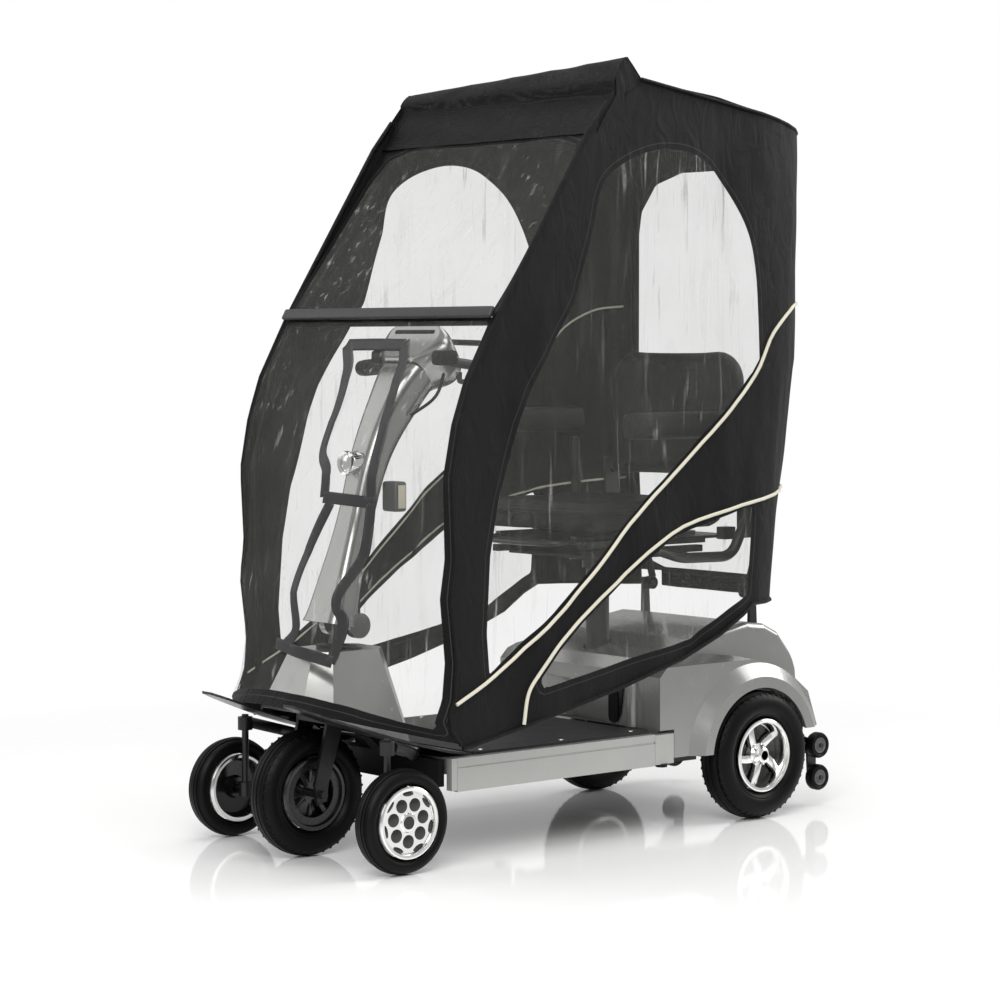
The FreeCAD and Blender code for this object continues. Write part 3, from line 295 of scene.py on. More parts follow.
@dataclass(frozen=True)
class CanopyCloth(Woven):
    """Coated black cloth with clear windows wherever the mesh says so, and painted white highlight streaks on the
    windows.
    """
    veil: float = 0.14
    clear: Colour = (0.22, 0.22, 0.205)
    # colour of the painted highlight streaks on the windows
    painted_glint_colour: Colour = (0.90, 0.90, 0.88)

    def glass(self, recipe: Recipe) -> Signal:
        """One inside a window and zero on the cloth."""
        return (recipe.attribute("window") * 1400.0 + 0.5).clamped()

    def shade(self, recipe: Recipe) -> Signal:
        """Black cloth, and a milky tint on the windows that turns to painted white highlight streaks."""
        inset = recipe.attribute("window") + 0.012
        seam = inset.maths("ABSOLUTE", inset)
        stitched = recipe.mix((1.0 - seam * 900.0).clamped() * 0.5, Finish.shade(self, recipe),
                              (0.09, 0.09, 0.09))
        # painted highlight: the window colour turns near white along the streaks
        sheet = recipe.mix(self.creases_and_painted_glints(recipe), self.clear, self.painted_glint_colour)
        return recipe.mix(self.glass(recipe), stitched, sheet)

    def smears(self, recipe: Recipe) -> Signal:
        """Broad soft patches where the clear sheet is hazier."""
        return recipe.cloud(0.16, 3.0).ramp(0.35, 0.95)

    def creases_and_painted_glints(self, recipe: Recipe) -> Signal:
        """Painted highlights: thin bright streaks on the clear sheet where its creases would catch the light."""
        painted_glint_streaks = recipe.cloud(0.016, 3.0, recipe.stretched((1.0, 1.0, 0.08)), 0.6).ramp(0.60, 0.72)
        return (painted_glint_streaks * self.smears(recipe) * 1.4).clamped()

    def extras(self, recipe: Recipe) -> dict:
        """Windows let most light through, with milky folds and a hard gloss; the painted highlight streaks are
        made more opaque.
        """
        glass = self.glass(recipe)
        folds = recipe.cloud(0.05, 4.0, recipe.stretched((1.0, 1.0, 0.16)), 0.9).ramp(0.56, 0.86)
        # the painted highlight streaks also thicken the veil so that they show white
        veil = (folds * 0.10 + self.smears(recipe) * 0.05 + self.creases_and_painted_glints(recipe) * 0.5
                + self.veil).clamped()
        return {"Alpha": 1.0 - glass * (1.0 - veil), "Roughness": 0.5 - glass * 0.36}


class Paints:
    """Every finish of the scooter."""
    SILVER = FlakePaint("silver_paint", (0.30, 0.30, 0.29), 0.24, 0.7, 0.35, mottle=0.03, grain=0.00001)
    RAIL = FlakePaint("rail_silver", (0.43, 0.43, 0.415), 0.34, 0.6, 0.25, grain=0.0001)
    BLACK_PLASTIC = Finish("black_moulding", (0.004, 0.004, 0.0044), 0.42, specular=0.16,
                           grain=0.0002, pitch=0.0012)
    GLOSS_BLACK = Finish("gloss_black", (0.004, 0.004, 0.0045), 0.26, 0.0, 0.25, grain=0.00005)
    POWDER = Finish("black_powder_coat", (0.006, 0.006, 0.0065), 0.38, 0.0, grain=0.0002, pitch=0.0015)
    TYRE = Finish("tyre_rubber", (0.003, 0.003, 0.003), 0.42, 0.0, 0.0, specular=0.12, mottle=0.3,
                  grain=0.0002)
    POLISH = Brushed("polished_rim", (0.80, 0.80, 0.79), 0.14, 1.0, mottle=0.06, grain=0.00004)
    CAST = Brushed("cast_silver", (0.70, 0.70, 0.68), 0.24, 0.9, 0.3, grain=0.00008)
    DARK_METAL = Brushed("dark_metal", (0.06, 0.06, 0.06), 0.3, 0.8, grain=0.0001)
    CHROME = Finish("lamp_chrome", (0.86, 0.86, 0.85), 0.08, 1.0, mottle=0.04, grain=0.00002)
    MAT = Ribbed("deck_mat_rubber", (0.014, 0.014, 0.015), 0.55, grain=0.0012, pitch=0.008)
    BOARD = Ribbed("board_rubber", (0.006, 0.006, 0.0065), 0.34, coat=0.15, grain=0.0004, pitch=0.009)
    VINYL = Leathercloth("seat_vinyl", (0.006, 0.006, 0.0064), 0.42, 0.0, 0.0, specular=0.2,
                         grain=0.0011, pitch=0.0022)
    NYLON = Woven("black_nylon", (0.004, 0.004, 0.0044), 0.5, sheen=0.0, specular=0.14, grain=0.008,
                  pitch=0.0016, puckers=1.0)
    # the windows of these sheets carry painted highlight streaks
    WALLS = CanopyCloth("canopy_walls", (0.004, 0.004, 0.0044), 0.5, sheen=0.0, specular=0.14, grain=0.008,
                        pitch=0.0016, puckers=1.0)
    PIPING = Woven("cream_piping", (0.62, 0.59, 0.48), 0.6, grain=0.0006, pitch=0.0015)
    TAPE = Woven("grey_binding", (0.014, 0.0145, 0.015), 0.5, grain=0.0008, pitch=0.0014)
    BAR_TAPE = Woven("grey_bar_tape", (0.020, 0.020, 0.021), 0.5, grain=0.0008, pitch=0.0014)
    POLE = Finish("pole_steel", (0.006, 0.006, 0.0062), 0.55, 0.0, specular=0.12, grain=0.00008)
    GRIP = Ribbed("grip_rubber", (0.006, 0.006, 0.006), 0.5, grain=0.0008, pitch=0.006)
    RED = Finish("red_lens", (0.42, 0.02, 0.015), 0.12, 0.0, 0.6, grain=0.0003, pitch=0.004)
    DIAL = Finish("dial_grey", (0.05, 0.05, 0.05), 0.36, grain=0.0001)
    CARD = Finish("tag_card", (0.55, 0.51, 0.40), 0.5, grain=0.0001)
    CASE = Finish("battery_case", (0.015, 0.015, 0.017), 0.5, grain=0.0002)
    ROLLER = Finish("grey_roller", (0.09, 0.09, 0.09), 0.45, grain=0.0001)


# ---- mesh tools -----------------------------------------------------------------

def curve_through(points: Sequence[Sequence[float]], steps: int = 6) -> list[tuple]:
    """A smooth line through points.

    Args:
        points: the points, of any dimension.
        steps: pieces between two points.

    Returns:
        The points of the line.
    """
    knots = [np.array(p, float) for p in points]
    ends = [2 * knots[0] - knots[1], *knots, 2 * knots[-1] - knots[-2]]
    line = []
    for a, b, c, d in zip(ends, ends[1:], ends[2:], ends[3:]):
        for t in np.linspace(0, 1, steps, endpoint=False):
            line.append(tuple(0.5 * (2 * b + (c - a) * t + (2 * a - 5 * b + 4 * c - d) * t * t
                                     + (3 * b - a - 3 * c + d) * t ** 3)))
    return line + [tuple(knots[-1])]


def along(table: Line, at: float) -> float:
    """Read a straight-line table of (place, value) pairs."""
    return float(np.interp(at, [row[0] for row in table], [row[1] for row in table]))


def depth_inside(points: np.ndarray, outline: Line) -> np.ndarray:
    """Signed distance to a closed outline.

    Args:
        points: rows of two coordinates.
        outline: the corners in order.

    Returns:
        Distances, positive inside.
    """
    nearest = np.full(len(points), 1e9)
    inside = np.zeros(len(points), bool)
    for a, b in zip(outline, [*outline[1:], outline[0]]):
        start, side = np.array(a), np.array(b) - np.array(a)
        share = np.clip(((points - start) @ side) / max(side @ side, 1e-12), 0, 1)
        nearest = np.minimum(nearest, np.linalg.norm(points - start - share[:, None] * side, axis=1))
        crosses = (a[1] > points[:, 1]) != (b[1] > points[:, 1])
        with np.errstate(divide="ignore", invalid="ignore"):
            at = start[0] + (points[:, 1] - a[1]) * side[0] / side[1]
        inside ^= crosses & (points[:, 0] < at)
    return np.where(inside, nearest, -nearest)


def ribbon(middle: Sequence[Sequence[float]], width: float) -> Line:
    """The closed outline of a flat tape that follows a line."""
    line = [Vector(p) for p in middle]
    left, right = [], []
    for index, spot in enumerate(line):
        run = (line[min(index + 1, len(line) - 1)] - line[max(index - 1, 0)]).normalized()
        across = Vector((-run.y, run.x)) * (width / 2)
        left.append(tuple(spot + across))
        right.append(tuple(spot - across))
    return left + right[::-1]


class Form:
    """A mesh that is shaped with operators and finished as one object."""

    def __init__(self) -> None:
        """Start empty."""
        self.mesh = bmesh.new()

    def take(self, other: bmesh.types.BMesh, turn: Matrix = Matrix.Identity(4)) -> "Form":
        """Add another mesh, moved by a matrix, and free it."""
        shell = bpy.data.meshes.new("shell")
        other.to_mesh(shell)
        other.free()
        shell.transform(turn)
        self.mesh.from_mesh(shell)
        bpy.data.meshes.remove(shell)
        return self

    def lathe(self, profile: Line, centre: Place, axis: Place = (1, 0, 0), steps: int = 72) -> "Form":
        """Turn a closed profile about an axis.

        Args:
            profile: (radius, place along the axis) corners in order.
            centre: where the axis starts.
            axis: the axis direction.
            steps: pieces round the turn.

        Returns:
            This form.
        """
        part = bmesh.new()
        corners = [part.verts.new((max(radius, 1e-5), 0, height)) for radius, height in profile]
        edges = [part.edges.new(pair) for pair in zip(corners, corners[1:] + corners[:1])]
        bmesh.ops.spin(part, geom=corners + edges, cent=(0, 0, 0), axis=(0, 0, 1),
                       angle=math.tau, steps=steps, use_merge=True)
        bmesh.ops.remove_doubles(part, verts=part.verts, dist=2e-5)
        bmesh.ops.recalc_face_normals(part, faces=part.faces)
        swing = Vector((0, 0, 1)).rotation_difference(Vector(axis)).to_matrix().to_4x4()
        return self.take(part, Matrix.Translation(centre) @ swing)

    def block(self, centre: Place, size: Place, edge: float = 0.001, turn: Matrix = Matrix.Identity(4),
              segments: int = 2) -> "Form":
        """Add a block with rounded edges, turned about its centre."""
        part = bmesh.new()
        bmesh.ops.create_cube(part, size=1.0)
        bmesh.ops.scale(part, vec=size, verts=part.verts)
        bmesh.ops.bevel(part, geom=part.edges[:], offset=edge, segments=segments, profile=0.5,
                        affect="EDGES", material=-1)
        return self.take(part, Matrix.Translation(centre) @ turn)

    def outline_plate(self, outline: Line, low: float, high: float, edge: float,
                      turn: Matrix = Matrix.Identity(4)) -> "Form":
        """Add a plate of that outline in XY from low to high with rounded rims."""
        part = bmesh.new()
        face = part.faces.new([part.verts.new((a, b, low)) for a, b in outline])
        grown = bmesh.ops.extrude_face_region(part, geom=[face])["geom"]
        risen = [item for item in grown if isinstance(item, bmesh.types.BMVert)]
        bmesh.ops.translate(part, vec=(0, 0, high - low), verts=risen)
        bmesh.ops.recalc_face_normals(part, faces=part.faces)
        rims = [e for e in part.edges if abs(e.verts[0].co.z - e.verts[1].co.z) < 1e-6]
        if edge:
            bmesh.ops.bevel(part, geom=rims, offset=edge, segments=2, profile=0.5, affect="EDGES",
                            material=-1)
        return self.take(part, turn)

    def rod(self, path: Sequence[Sequence[float]], radius: float, sides: int = 4) -> "Form":
        """Add a round rod along a path with closed ends."""
        data = bpy.data.curves.new("rod", "CURVE")
        data.dimensions, data.bevel_depth, data.bevel_resolution = "3D", radius, sides
        data.use_fill_caps = True
        spline = data.splines.new("POLY")
        spline.points.add(len(path) - 1)
        for point, spot in zip(spline.points, path):
            point.co = (*spot, 1.0)
        holder = bpy.data.objects.new("rod", data)
        shape = bpy.data.meshes.new_from_object(holder)
        self.mesh.from_mesh(shape)
        bpy.data.objects.remove(holder)
        bpy.data.meshes.remove(shape)
        return self

    def object(self, name: str, finish: Finish, body: str, slot: str, replaces: Sequence[str] = (),
               sharp: float = 32.0) -> bpy.types.Object:
        """Close the form as an object that rides on a body.

        Args:
            name: the piece's name.
            finish: its finish.
            body: the body that it moves with.
            slot: a material slot name; not used.
            replaces: the frame's nodes that it stands for.
            sharp: edges above this angle, in degrees, stay crisp.

        Returns:
            The object.
        """
        for face in self.mesh.faces:
            face.smooth = True
        for edge in self.mesh.edges:
            edge.smooth = edge.calc_face_angle(0.0) < math.radians(sharp)
        shape = bpy.data.meshes.new(name)
        self.mesh.to_mesh(shape)
        self.mesh.free()
        shape.materials.append(finish.material())
        piece = bpy.data.objects.new(name, shape)
        bpy.context.scene.collection.objects.link(piece)
        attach(piece, body)
        if replaces:
            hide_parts(*replaces)
        log.info("%s: %d faces on %s", name, len(shape.polygons), body)
        return piece


def dress(node: str, finish: Finish) -> None:
    """Give a node of the frame its finish."""
    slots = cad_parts[node].data.materials
    slots.clear()
    slots.append(finish.material())
    log.info("%s: %s", node, finish.name)



def arc(radius: float, start: float, end: float, steps: int, centre: tuple = (0.0, 0.0)) -> Line:
    """Points on an arc, with angles in degrees."""
    return [(centre[0] + radius * math.cos(math.radians(a)), centre[1] + radius * math.sin(math.radians(a)))
            for a in np.linspace(start, end, steps)]


class Side(Enum):
    """The two sides of the scooter, as signs of X."""
    LEFT = 1
    RIGHT = -1

    @property
    def word(self) -> str:
        """The side's name in node and body names."""
        return self.name.lower()


# ---- wheels -----------------------------------------------------------------------

@dataclass
class Wheel:
    """A tyre with its rim and hub.

    The tyre's section is a crown, two rounded shoulders and two side walls that tuck into the rim.
    """
    body: str
    tyre_node: str
    rim_node: str
    outward: int
    rim_radius: float
    lugs: int = 0

    def __post_init__(self) -> None:
        """Read the wheel's place and sizes from the frame."""
        low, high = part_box(self.tyre_node)
        self.centre = tuple((low + high) / 2)
        self.radius = (high.z - low.z) / 2
        self.half = (high.x - low.x) / 2

    def tyre(self) -> None:
        """Build the tyre with tread lugs and side wall rings."""
        r, lip, half = self.radius, self.rim_radius, self.half
        wall = r - lip
        side = [(lip + 0.001, 0.60 * half), (lip + 0.10 * wall, 0.80 * half), (lip + 0.22 * wall, 0.93 * half),
                (lip + 0.26 * wall, 0.90 * half), (lip + 0.32 * wall, 0.97 * half), (lip + 0.50 * wall, half),
                (lip + 0.66 * wall, 0.96 * half), (lip + 0.70 * wall, 0.93 * half),
                (lip + 0.76 * wall, 0.90 * half), (lip + 0.88 * wall, 0.70 * half)]
        groove = [(r - 0.008 * (r / 0.136), 0.50 * half), (r - 0.0048, 0.44 * half), (r - 0.0020, 0.42 * half),
                  (r - 0.0008, 0.22 * half), (r - 0.0032, 0.19 * half), (r - 0.0032, 0.15 * half),
                  (r - 0.0002, 0.12 * half)]
        right = side + groove
        profile = right + [(radius, -along_x) for radius, along_x in right[::-1]]
        form = Form().lathe(profile, self.centre, steps=96)
        for index in range(self.lugs):
            for hand in (-1, 1):
                angle = math.tau * (index + 0.25 * hand) / self.lugs
                turn = Matrix.Rotation(angle, 4, "X")
                lean = Matrix.Rotation(math.radians(52) * hand, 4, "Y")
                form.block(Vector(self.centre) + turn @ Vector((hand * 0.735 * self.half, 0,
                           lip + 0.815 * wall)), (0.34 * self.half, 0.0046, 0.0060), 0.0007,
                           turn @ lean, 1)
        form.object(self.tyre_node + "_tread", Paints.TYRE, self.body, "tyre_black", [self.tyre_node], 40)

    def ring(self, form: Form, depth: float) -> Form:
        """Add the rim's rolled lip and barrel on both sides."""
        lip = self.rim_radius
        half = depth
        profile = [(lip, half), (lip + 0.001, half + 0.002), (lip - 0.002, half + 0.0035),
                   (lip - 0.007, half + 0.003), (lip - 0.009, half - 0.001), (lip - 0.011, 0.3 * half),
                   (lip - 0.011, -0.3 * half), (lip - 0.009, 0.001 - half), (lip - 0.007, -half - 0.003),
                   (lip - 0.002, -half - 0.0035), (lip + 0.001, -half - 0.002), (lip, -half),
                   (lip - 0.004, -0.5 * half), (lip - 0.004, 0.5 * half)]
        return form.lathe(profile, self.centre, steps=96)


class DriveWheel(Wheel):
    """A rear wheel: a polished ring with swept spokes over a dark dish."""
    spokes = 5

    def build(self) -> None:
        """Build every piece of the wheel."""
        self.tyre()
        form = self.ring(Form(), 0.031)
        face = Matrix.Rotation(math.pi / 2 * self.outward, 4, "Y")
        for index in range(self.spokes):
            swing = Matrix.Rotation(math.tau * index / self.spokes, 4, "X")
            outline = [(0.014, -0.009), (0.024, -0.0085), (0.040, -0.014), (0.0655, -0.026), (0.0665, -0.012),
                       (0.052, -0.002), (0.038, 0.0045), (0.024, 0.009), (0.014, 0.010)]
            form.outline_plate(outline, 0.006, 0.016, 0.0016,
                               Matrix.Translation(self.centre) @ swing @ face)
        hub = [(0.0, 0.034), (0.012, 0.034), (0.016, 0.031), (0.019, 0.022), (0.024, 0.016), (0.026, 0.004),
               (0.0, 0.004)]
        form.lathe(hub, self.centre, (self.outward, 0, 0), 48)
        for bolt in arc(0.0195, 0, 288, 5):
            form.lathe([(0.0, 0.0255), (0.0026, 0.025), (0.003, 0.016), (0.0, 0.016)],
                       tuple(Vector(self.centre) + Vector((0, bolt[0], bolt[1]))), (self.outward, 0, 0), 8)
        form.object(self.rim_node + "_alloy", Paints.POLISH, self.body, "rim_polish", [self.rim_node], 28)
        dish = [(0.0, -0.004), (0.063, -0.004), (0.064, 0.0), (0.030, 0.003), (0.0, 0.003)]
        Form().lathe(dish, self.centre, (self.outward, 0, 0)).object(
            self.rim_node + "_dish", Paints.GLOSS_BLACK, self.body, "black_plastic")


class OutriggerWheel(Wheel):
    """A small steered wheel: a light alloy face with round holes and rim slots."""
    holes = 7

    def face_outline(self) -> list[tuple[float, float, float, float]]:
        """Centres, widths and heights of the openings as (turn, radius, along, across)."""
        step = math.tau / self.holes
        round_holes = [(index * step, 0.0360, 0.0130, 0.0130) for index in range(self.holes)]
        slots = [((index + 0.5) * step, 0.0545, 0.0125, 0.0042) for index in range(self.holes)]
        return round_holes + slots

    def build(self) -> None:
        """Build the tyre, the ring, the pierced face and the cap."""
        self.tyre()
        form = self.ring(Form(), 0.0235)
        plate = Form().lathe([(0.019, 0.021), (0.058, 0.0205), (0.0605, 0.0175), (0.0605, 0.012),
                              (0.019, 0.013)], self.centre, (self.outward, 0, 0), 84)
        form.take(plate.mesh)
        form.lathe([(0.0, 0.018), (0.0085, 0.018), (0.010, 0.0215), (0.0125, 0.023), (0.0175, 0.0225),
                    (0.0195, 0.0205), (0.0195, 0.010), (0.0, 0.010)], self.centre, (self.outward, 0, 0), 48)
        form.object(self.rim_node + "_alloy", Paints.POLISH, self.body, "rim_silver", [self.rim_node], 28)
        pits = Form()
        for turn, radius, wide, high in self.face_outline():
            swing = Matrix.Rotation(turn, 4, "X")
            face = Matrix.Rotation(math.pi / 2 * self.outward, 4, "Y")
            ellipse = [(high * math.cos(a) + radius, wide * math.sin(a))
                       for a in np.linspace(0, math.tau, 20, endpoint=False)]
            pits.outline_plate(ellipse, 0.0185, 0.0216, 0.0004,
                               Matrix.Translation(self.centre) @ swing @ face)
        pits.lathe([(0.0, 0.0236), (0.0125, 0.0236), (0.0125, 0.019), (0.0, 0.019)], self.centre,
                   (self.outward, 0, 0), 32)
        pits.lathe([(0.012, 0.004), (0.058, 0.004), (0.0665, -0.0215), (0.060, -0.0235), (0.053, -0.004),
                    (0.024, -0.004), (0.020, -0.018), (0.012, -0.018)], self.centre, (self.outward, 0, 0), 60)
        pits.object(self.rim_node + "_openings", Paints.GLOSS_BLACK, self.body, "black_plastic")


class SteeredWheel(Wheel):
    """The centre front wheel: a dark hub with a drilled brake disc on the near side."""
    drillings = 30

    def build(self) -> None:
        """Build the tyre, the dark rim and the disc with its four arms."""
        self.tyre()
        form = self.ring(Form(), 0.027)
        form.lathe([(0.0, 0.008), (0.020, 0.012), (0.061, 0.004), (0.061, -0.004), (0.020, -0.012),
                    (0.0, -0.008)], self.centre, (1, 0, 0), 60)
        for index in range(6):
            swing = Matrix.Rotation(math.tau * index / 6, 4, "X")
            form.block(Vector(self.centre) + swing @ Vector((0.008, 0, 0.040)), (0.008, 0.012, 0.042), 0.002,
                       swing)
        form.object(self.rim_node + "_dark", Paints.GLOSS_BLACK, self.body, "rim_silver", [self.rim_node], 28)
        disc = Form().lathe([(0.048, 0.0235), (0.0625, 0.0235), (0.063, 0.0225), (0.063, 0.0208),
                             (0.048, 0.0208)], self.centre, (1, 0, 0), 84)
        for index in range(4):
            swing = Matrix.Rotation(math.tau * (index + 0.4) / 4, 4, "X")
            disc.block(Vector(self.centre) + swing @ Vector((0.021, 0, 0.036)), (0.003, 0.010, 0.030), 0.0008,
                       swing)
        disc.object("brake_disc", Paints.DARK_METAL, self.body, "rim_silver")
        pits = Form()
        for index in range(self.drillings):
            place = 0.0545 + 0.0035 * (index % 3 - 1)
            swing = Matrix.Rotation(math.tau * index / self.drillings, 4, "X")
            pits.lathe([(0.0, 0.0237), (0.0016, 0.0237), (0.0016, 0.0225), (0.0, 0.0225)],
                       tuple(Vector(self.centre) + swing @ Vector((0, 0, place))), (1, 0, 0), 8)
        pits.object("brake_disc_drillings", Paints.GLOSS_BLACK, self.body, "black_plastic")


@dataclass
class AntiTipWheel:
    """A small roller behind the rear wheels: black tread, grey side rings and a hub."""
    node: str
    body: str

    def build(self) -> None:
        """Build the roller in place of its plain solid."""
        low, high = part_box(self.node)
        centre, r, half = (low + high) / 2, (high.z - low.z) / 2, (high.x - low.x) / 2
        tread = [(0.55 * r, 0.8 * half), (0.72 * r, 0.8 * half), (0.80 * r, half), (0.92 * r, 0.95 * half),
                 (r, 0.55 * half), (r, -0.55 * half), (0.92 * r, -0.95 * half), (0.80 * r, -half),
                 (0.72 * r, -0.8 * half), (0.55 * r, -0.8 * half)]
        Form().lathe(tread, tuple(centre), steps=48).object(
            self.node + "_tread", Paints.TYRE, self.body, "tyre_black", [self.node])
        hub = Form()
        for hand in (-1, 1):
            hub.lathe([(0.18 * r, 0.5 * half), (0.56 * r, 0.5 * half), (0.60 * r, 0.84 * half),
                       (0.52 * r, 0.88 * half), (0.46 * r, 0.7 * half), (0.34 * r, 0.7 * half),
                       (0.28 * r, 0.95 * half), (0.18 * r, 0.95 * half)], tuple(centre), (hand, 0, 0), 36)
        hub.object(self.node + "_hub", Paints.ROLLER, self.body, "grey_roller")


# ---- body and deck ------------------------------------------------------------------

@dataclass
class Bodywork:
    """The silver covers over the chassis with their seams, slots and lamps."""
    seam: float = 0.0012

    def build(self) -> None:
        """Dress the covers and add the small pieces on them."""
        for node in ("rear_body", "rear_fender_left", "rear_fender_right", "nose_cowl"):
            dress(node, Paints.SILVER)
        for node in ("main_frame", "steering_fork", "knuckle_left", "knuckle_right", "anti_tip_brackets",
                     "seat_swivel", "seat_frame", "canopy_bracket"):
            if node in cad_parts:
                dress(node, Paints.POWDER)
        dress("transaxle", Paints.DARK_METAL)
        dress("battery_packs", Paints.CASE)
        dress("front_undertray", Paints.BLACK_PLASTIC)
        dress("charge_socket", Paints.BLACK_PLASTIC)
        dress("tail_lights", Paints.RED)
        self.front_wall()
        self.nose_seams()
        self.fender_trim()

    def front_wall(self) -> None:
        """The rounded columns and the black hand slots of the body's front wall."""
        columns, slots = Form(), Form()
        for side in Side:
            columns.rod(curve_through([(side.value * 0.178, 0.158, 0.211), (side.value * 0.176, 0.160, 0.27),
                                       (side.value * 0.170, 0.170, 0.33)], 4), 0.011, 6)
            slot = (arc(0.011, 0, 180, 9, (0.0, 0.028))
                    + arc(0.011, 180, 360, 9, (0.0, -0.028)))
            lean = (Matrix.Rotation(math.radians(90), 4, "X")
                    @ Matrix.Rotation(math.radians(-9 * side.value), 4, "Z"))
            slots.outline_plate(slot, 0.0, 0.004, 0.0008,
                                Matrix.Translation((side.value * 0.132, 0.1645, 0.262)) @ lean)
        columns.object("body_corner_columns", Paints.SILVER, "chassis", "silver_plastic")
        slots.object("body_hand_slots", Paints.GLOSS_BLACK, "chassis", "black_plastic")
        shade = Form().block((0.0, 0.1625, 0.255), (0.20, 0.003, 0.082), 0.0012)
        shade.object("battery_door", Paints.SILVER, "chassis", "silver_plastic")

    def nose_seams(self) -> None:
        """The black gap ring between the nose cover and the tiller."""
        Form().lathe([(0.030, 0.0), (0.047, -0.004), (0.050, 0.004), (0.034, 0.008)],
                     (0.0, -0.462, 0.402), (0, 0.12, 0.99), 48).object(
            "nose_gap_ring", Paints.BLACK_PLASTIC, "chassis", "black_plastic")

    def fender_trim(self) -> None:
        """The rolled lips round the wheel arches."""
        form = Form()
        for side in Side:
            path = [(side.value * 0.2735, 0.438 - 0.1465 * math.cos(a), 0.137 + 0.1465 * math.sin(a))
                    for a in np.linspace(math.radians(8), math.radians(160), 40)]
            form.rod(path, 0.0032, 4)
        form.object("arch_lips", Paints.SILVER, "chassis", "silver_plastic")


@dataclass
class Deck:
    """The foot deck with its mat, rails, caps and raised foot boards."""

    def build(self) -> None:
        """Dress the deck and add its fittings."""
        dress("deck_pan", Paints.SILVER)
        dress("deck_mat", Paints.MAT)
        dress("side_rails", Paints.RAIL)
        dress("rail_caps", Paints.RAIL)
        dress("foot_board_left", Paints.BOARD)
        dress("foot_board_right", Paints.BOARD)
        self.fittings()

    def fittings(self) -> None:
        """Screws on the mat and feet under the deck's rear corners."""
        screws = Form()
        for x in (-0.225, 0.225):
            for y in (-0.29, -0.08, 0.11):
                screws.lathe([(0.0, 0.0018), (0.004, 0.0015), (0.0055, 0.0), (0.0, 0.0)], (x, y, 0.2098),
                             (0, 0, 1), 16)
        screws.object("mat_screws", Paints.CAST, "chassis", "rim_silver")
        feet = Form()
        for x in (-0.257, 0.257):
            feet.lathe([(0.0, 0.0), (0.012, 0.001), (0.014, 0.008), (0.0, 0.008)], (x, 0.166, 0.1345),
                       (0, 0, 1), 20)
        feet.object("deck_bump_stops", Paints.BLACK_PLASTIC, "chassis", "black_plastic")


# ---- tiller ---------------------------------------------------------------------------

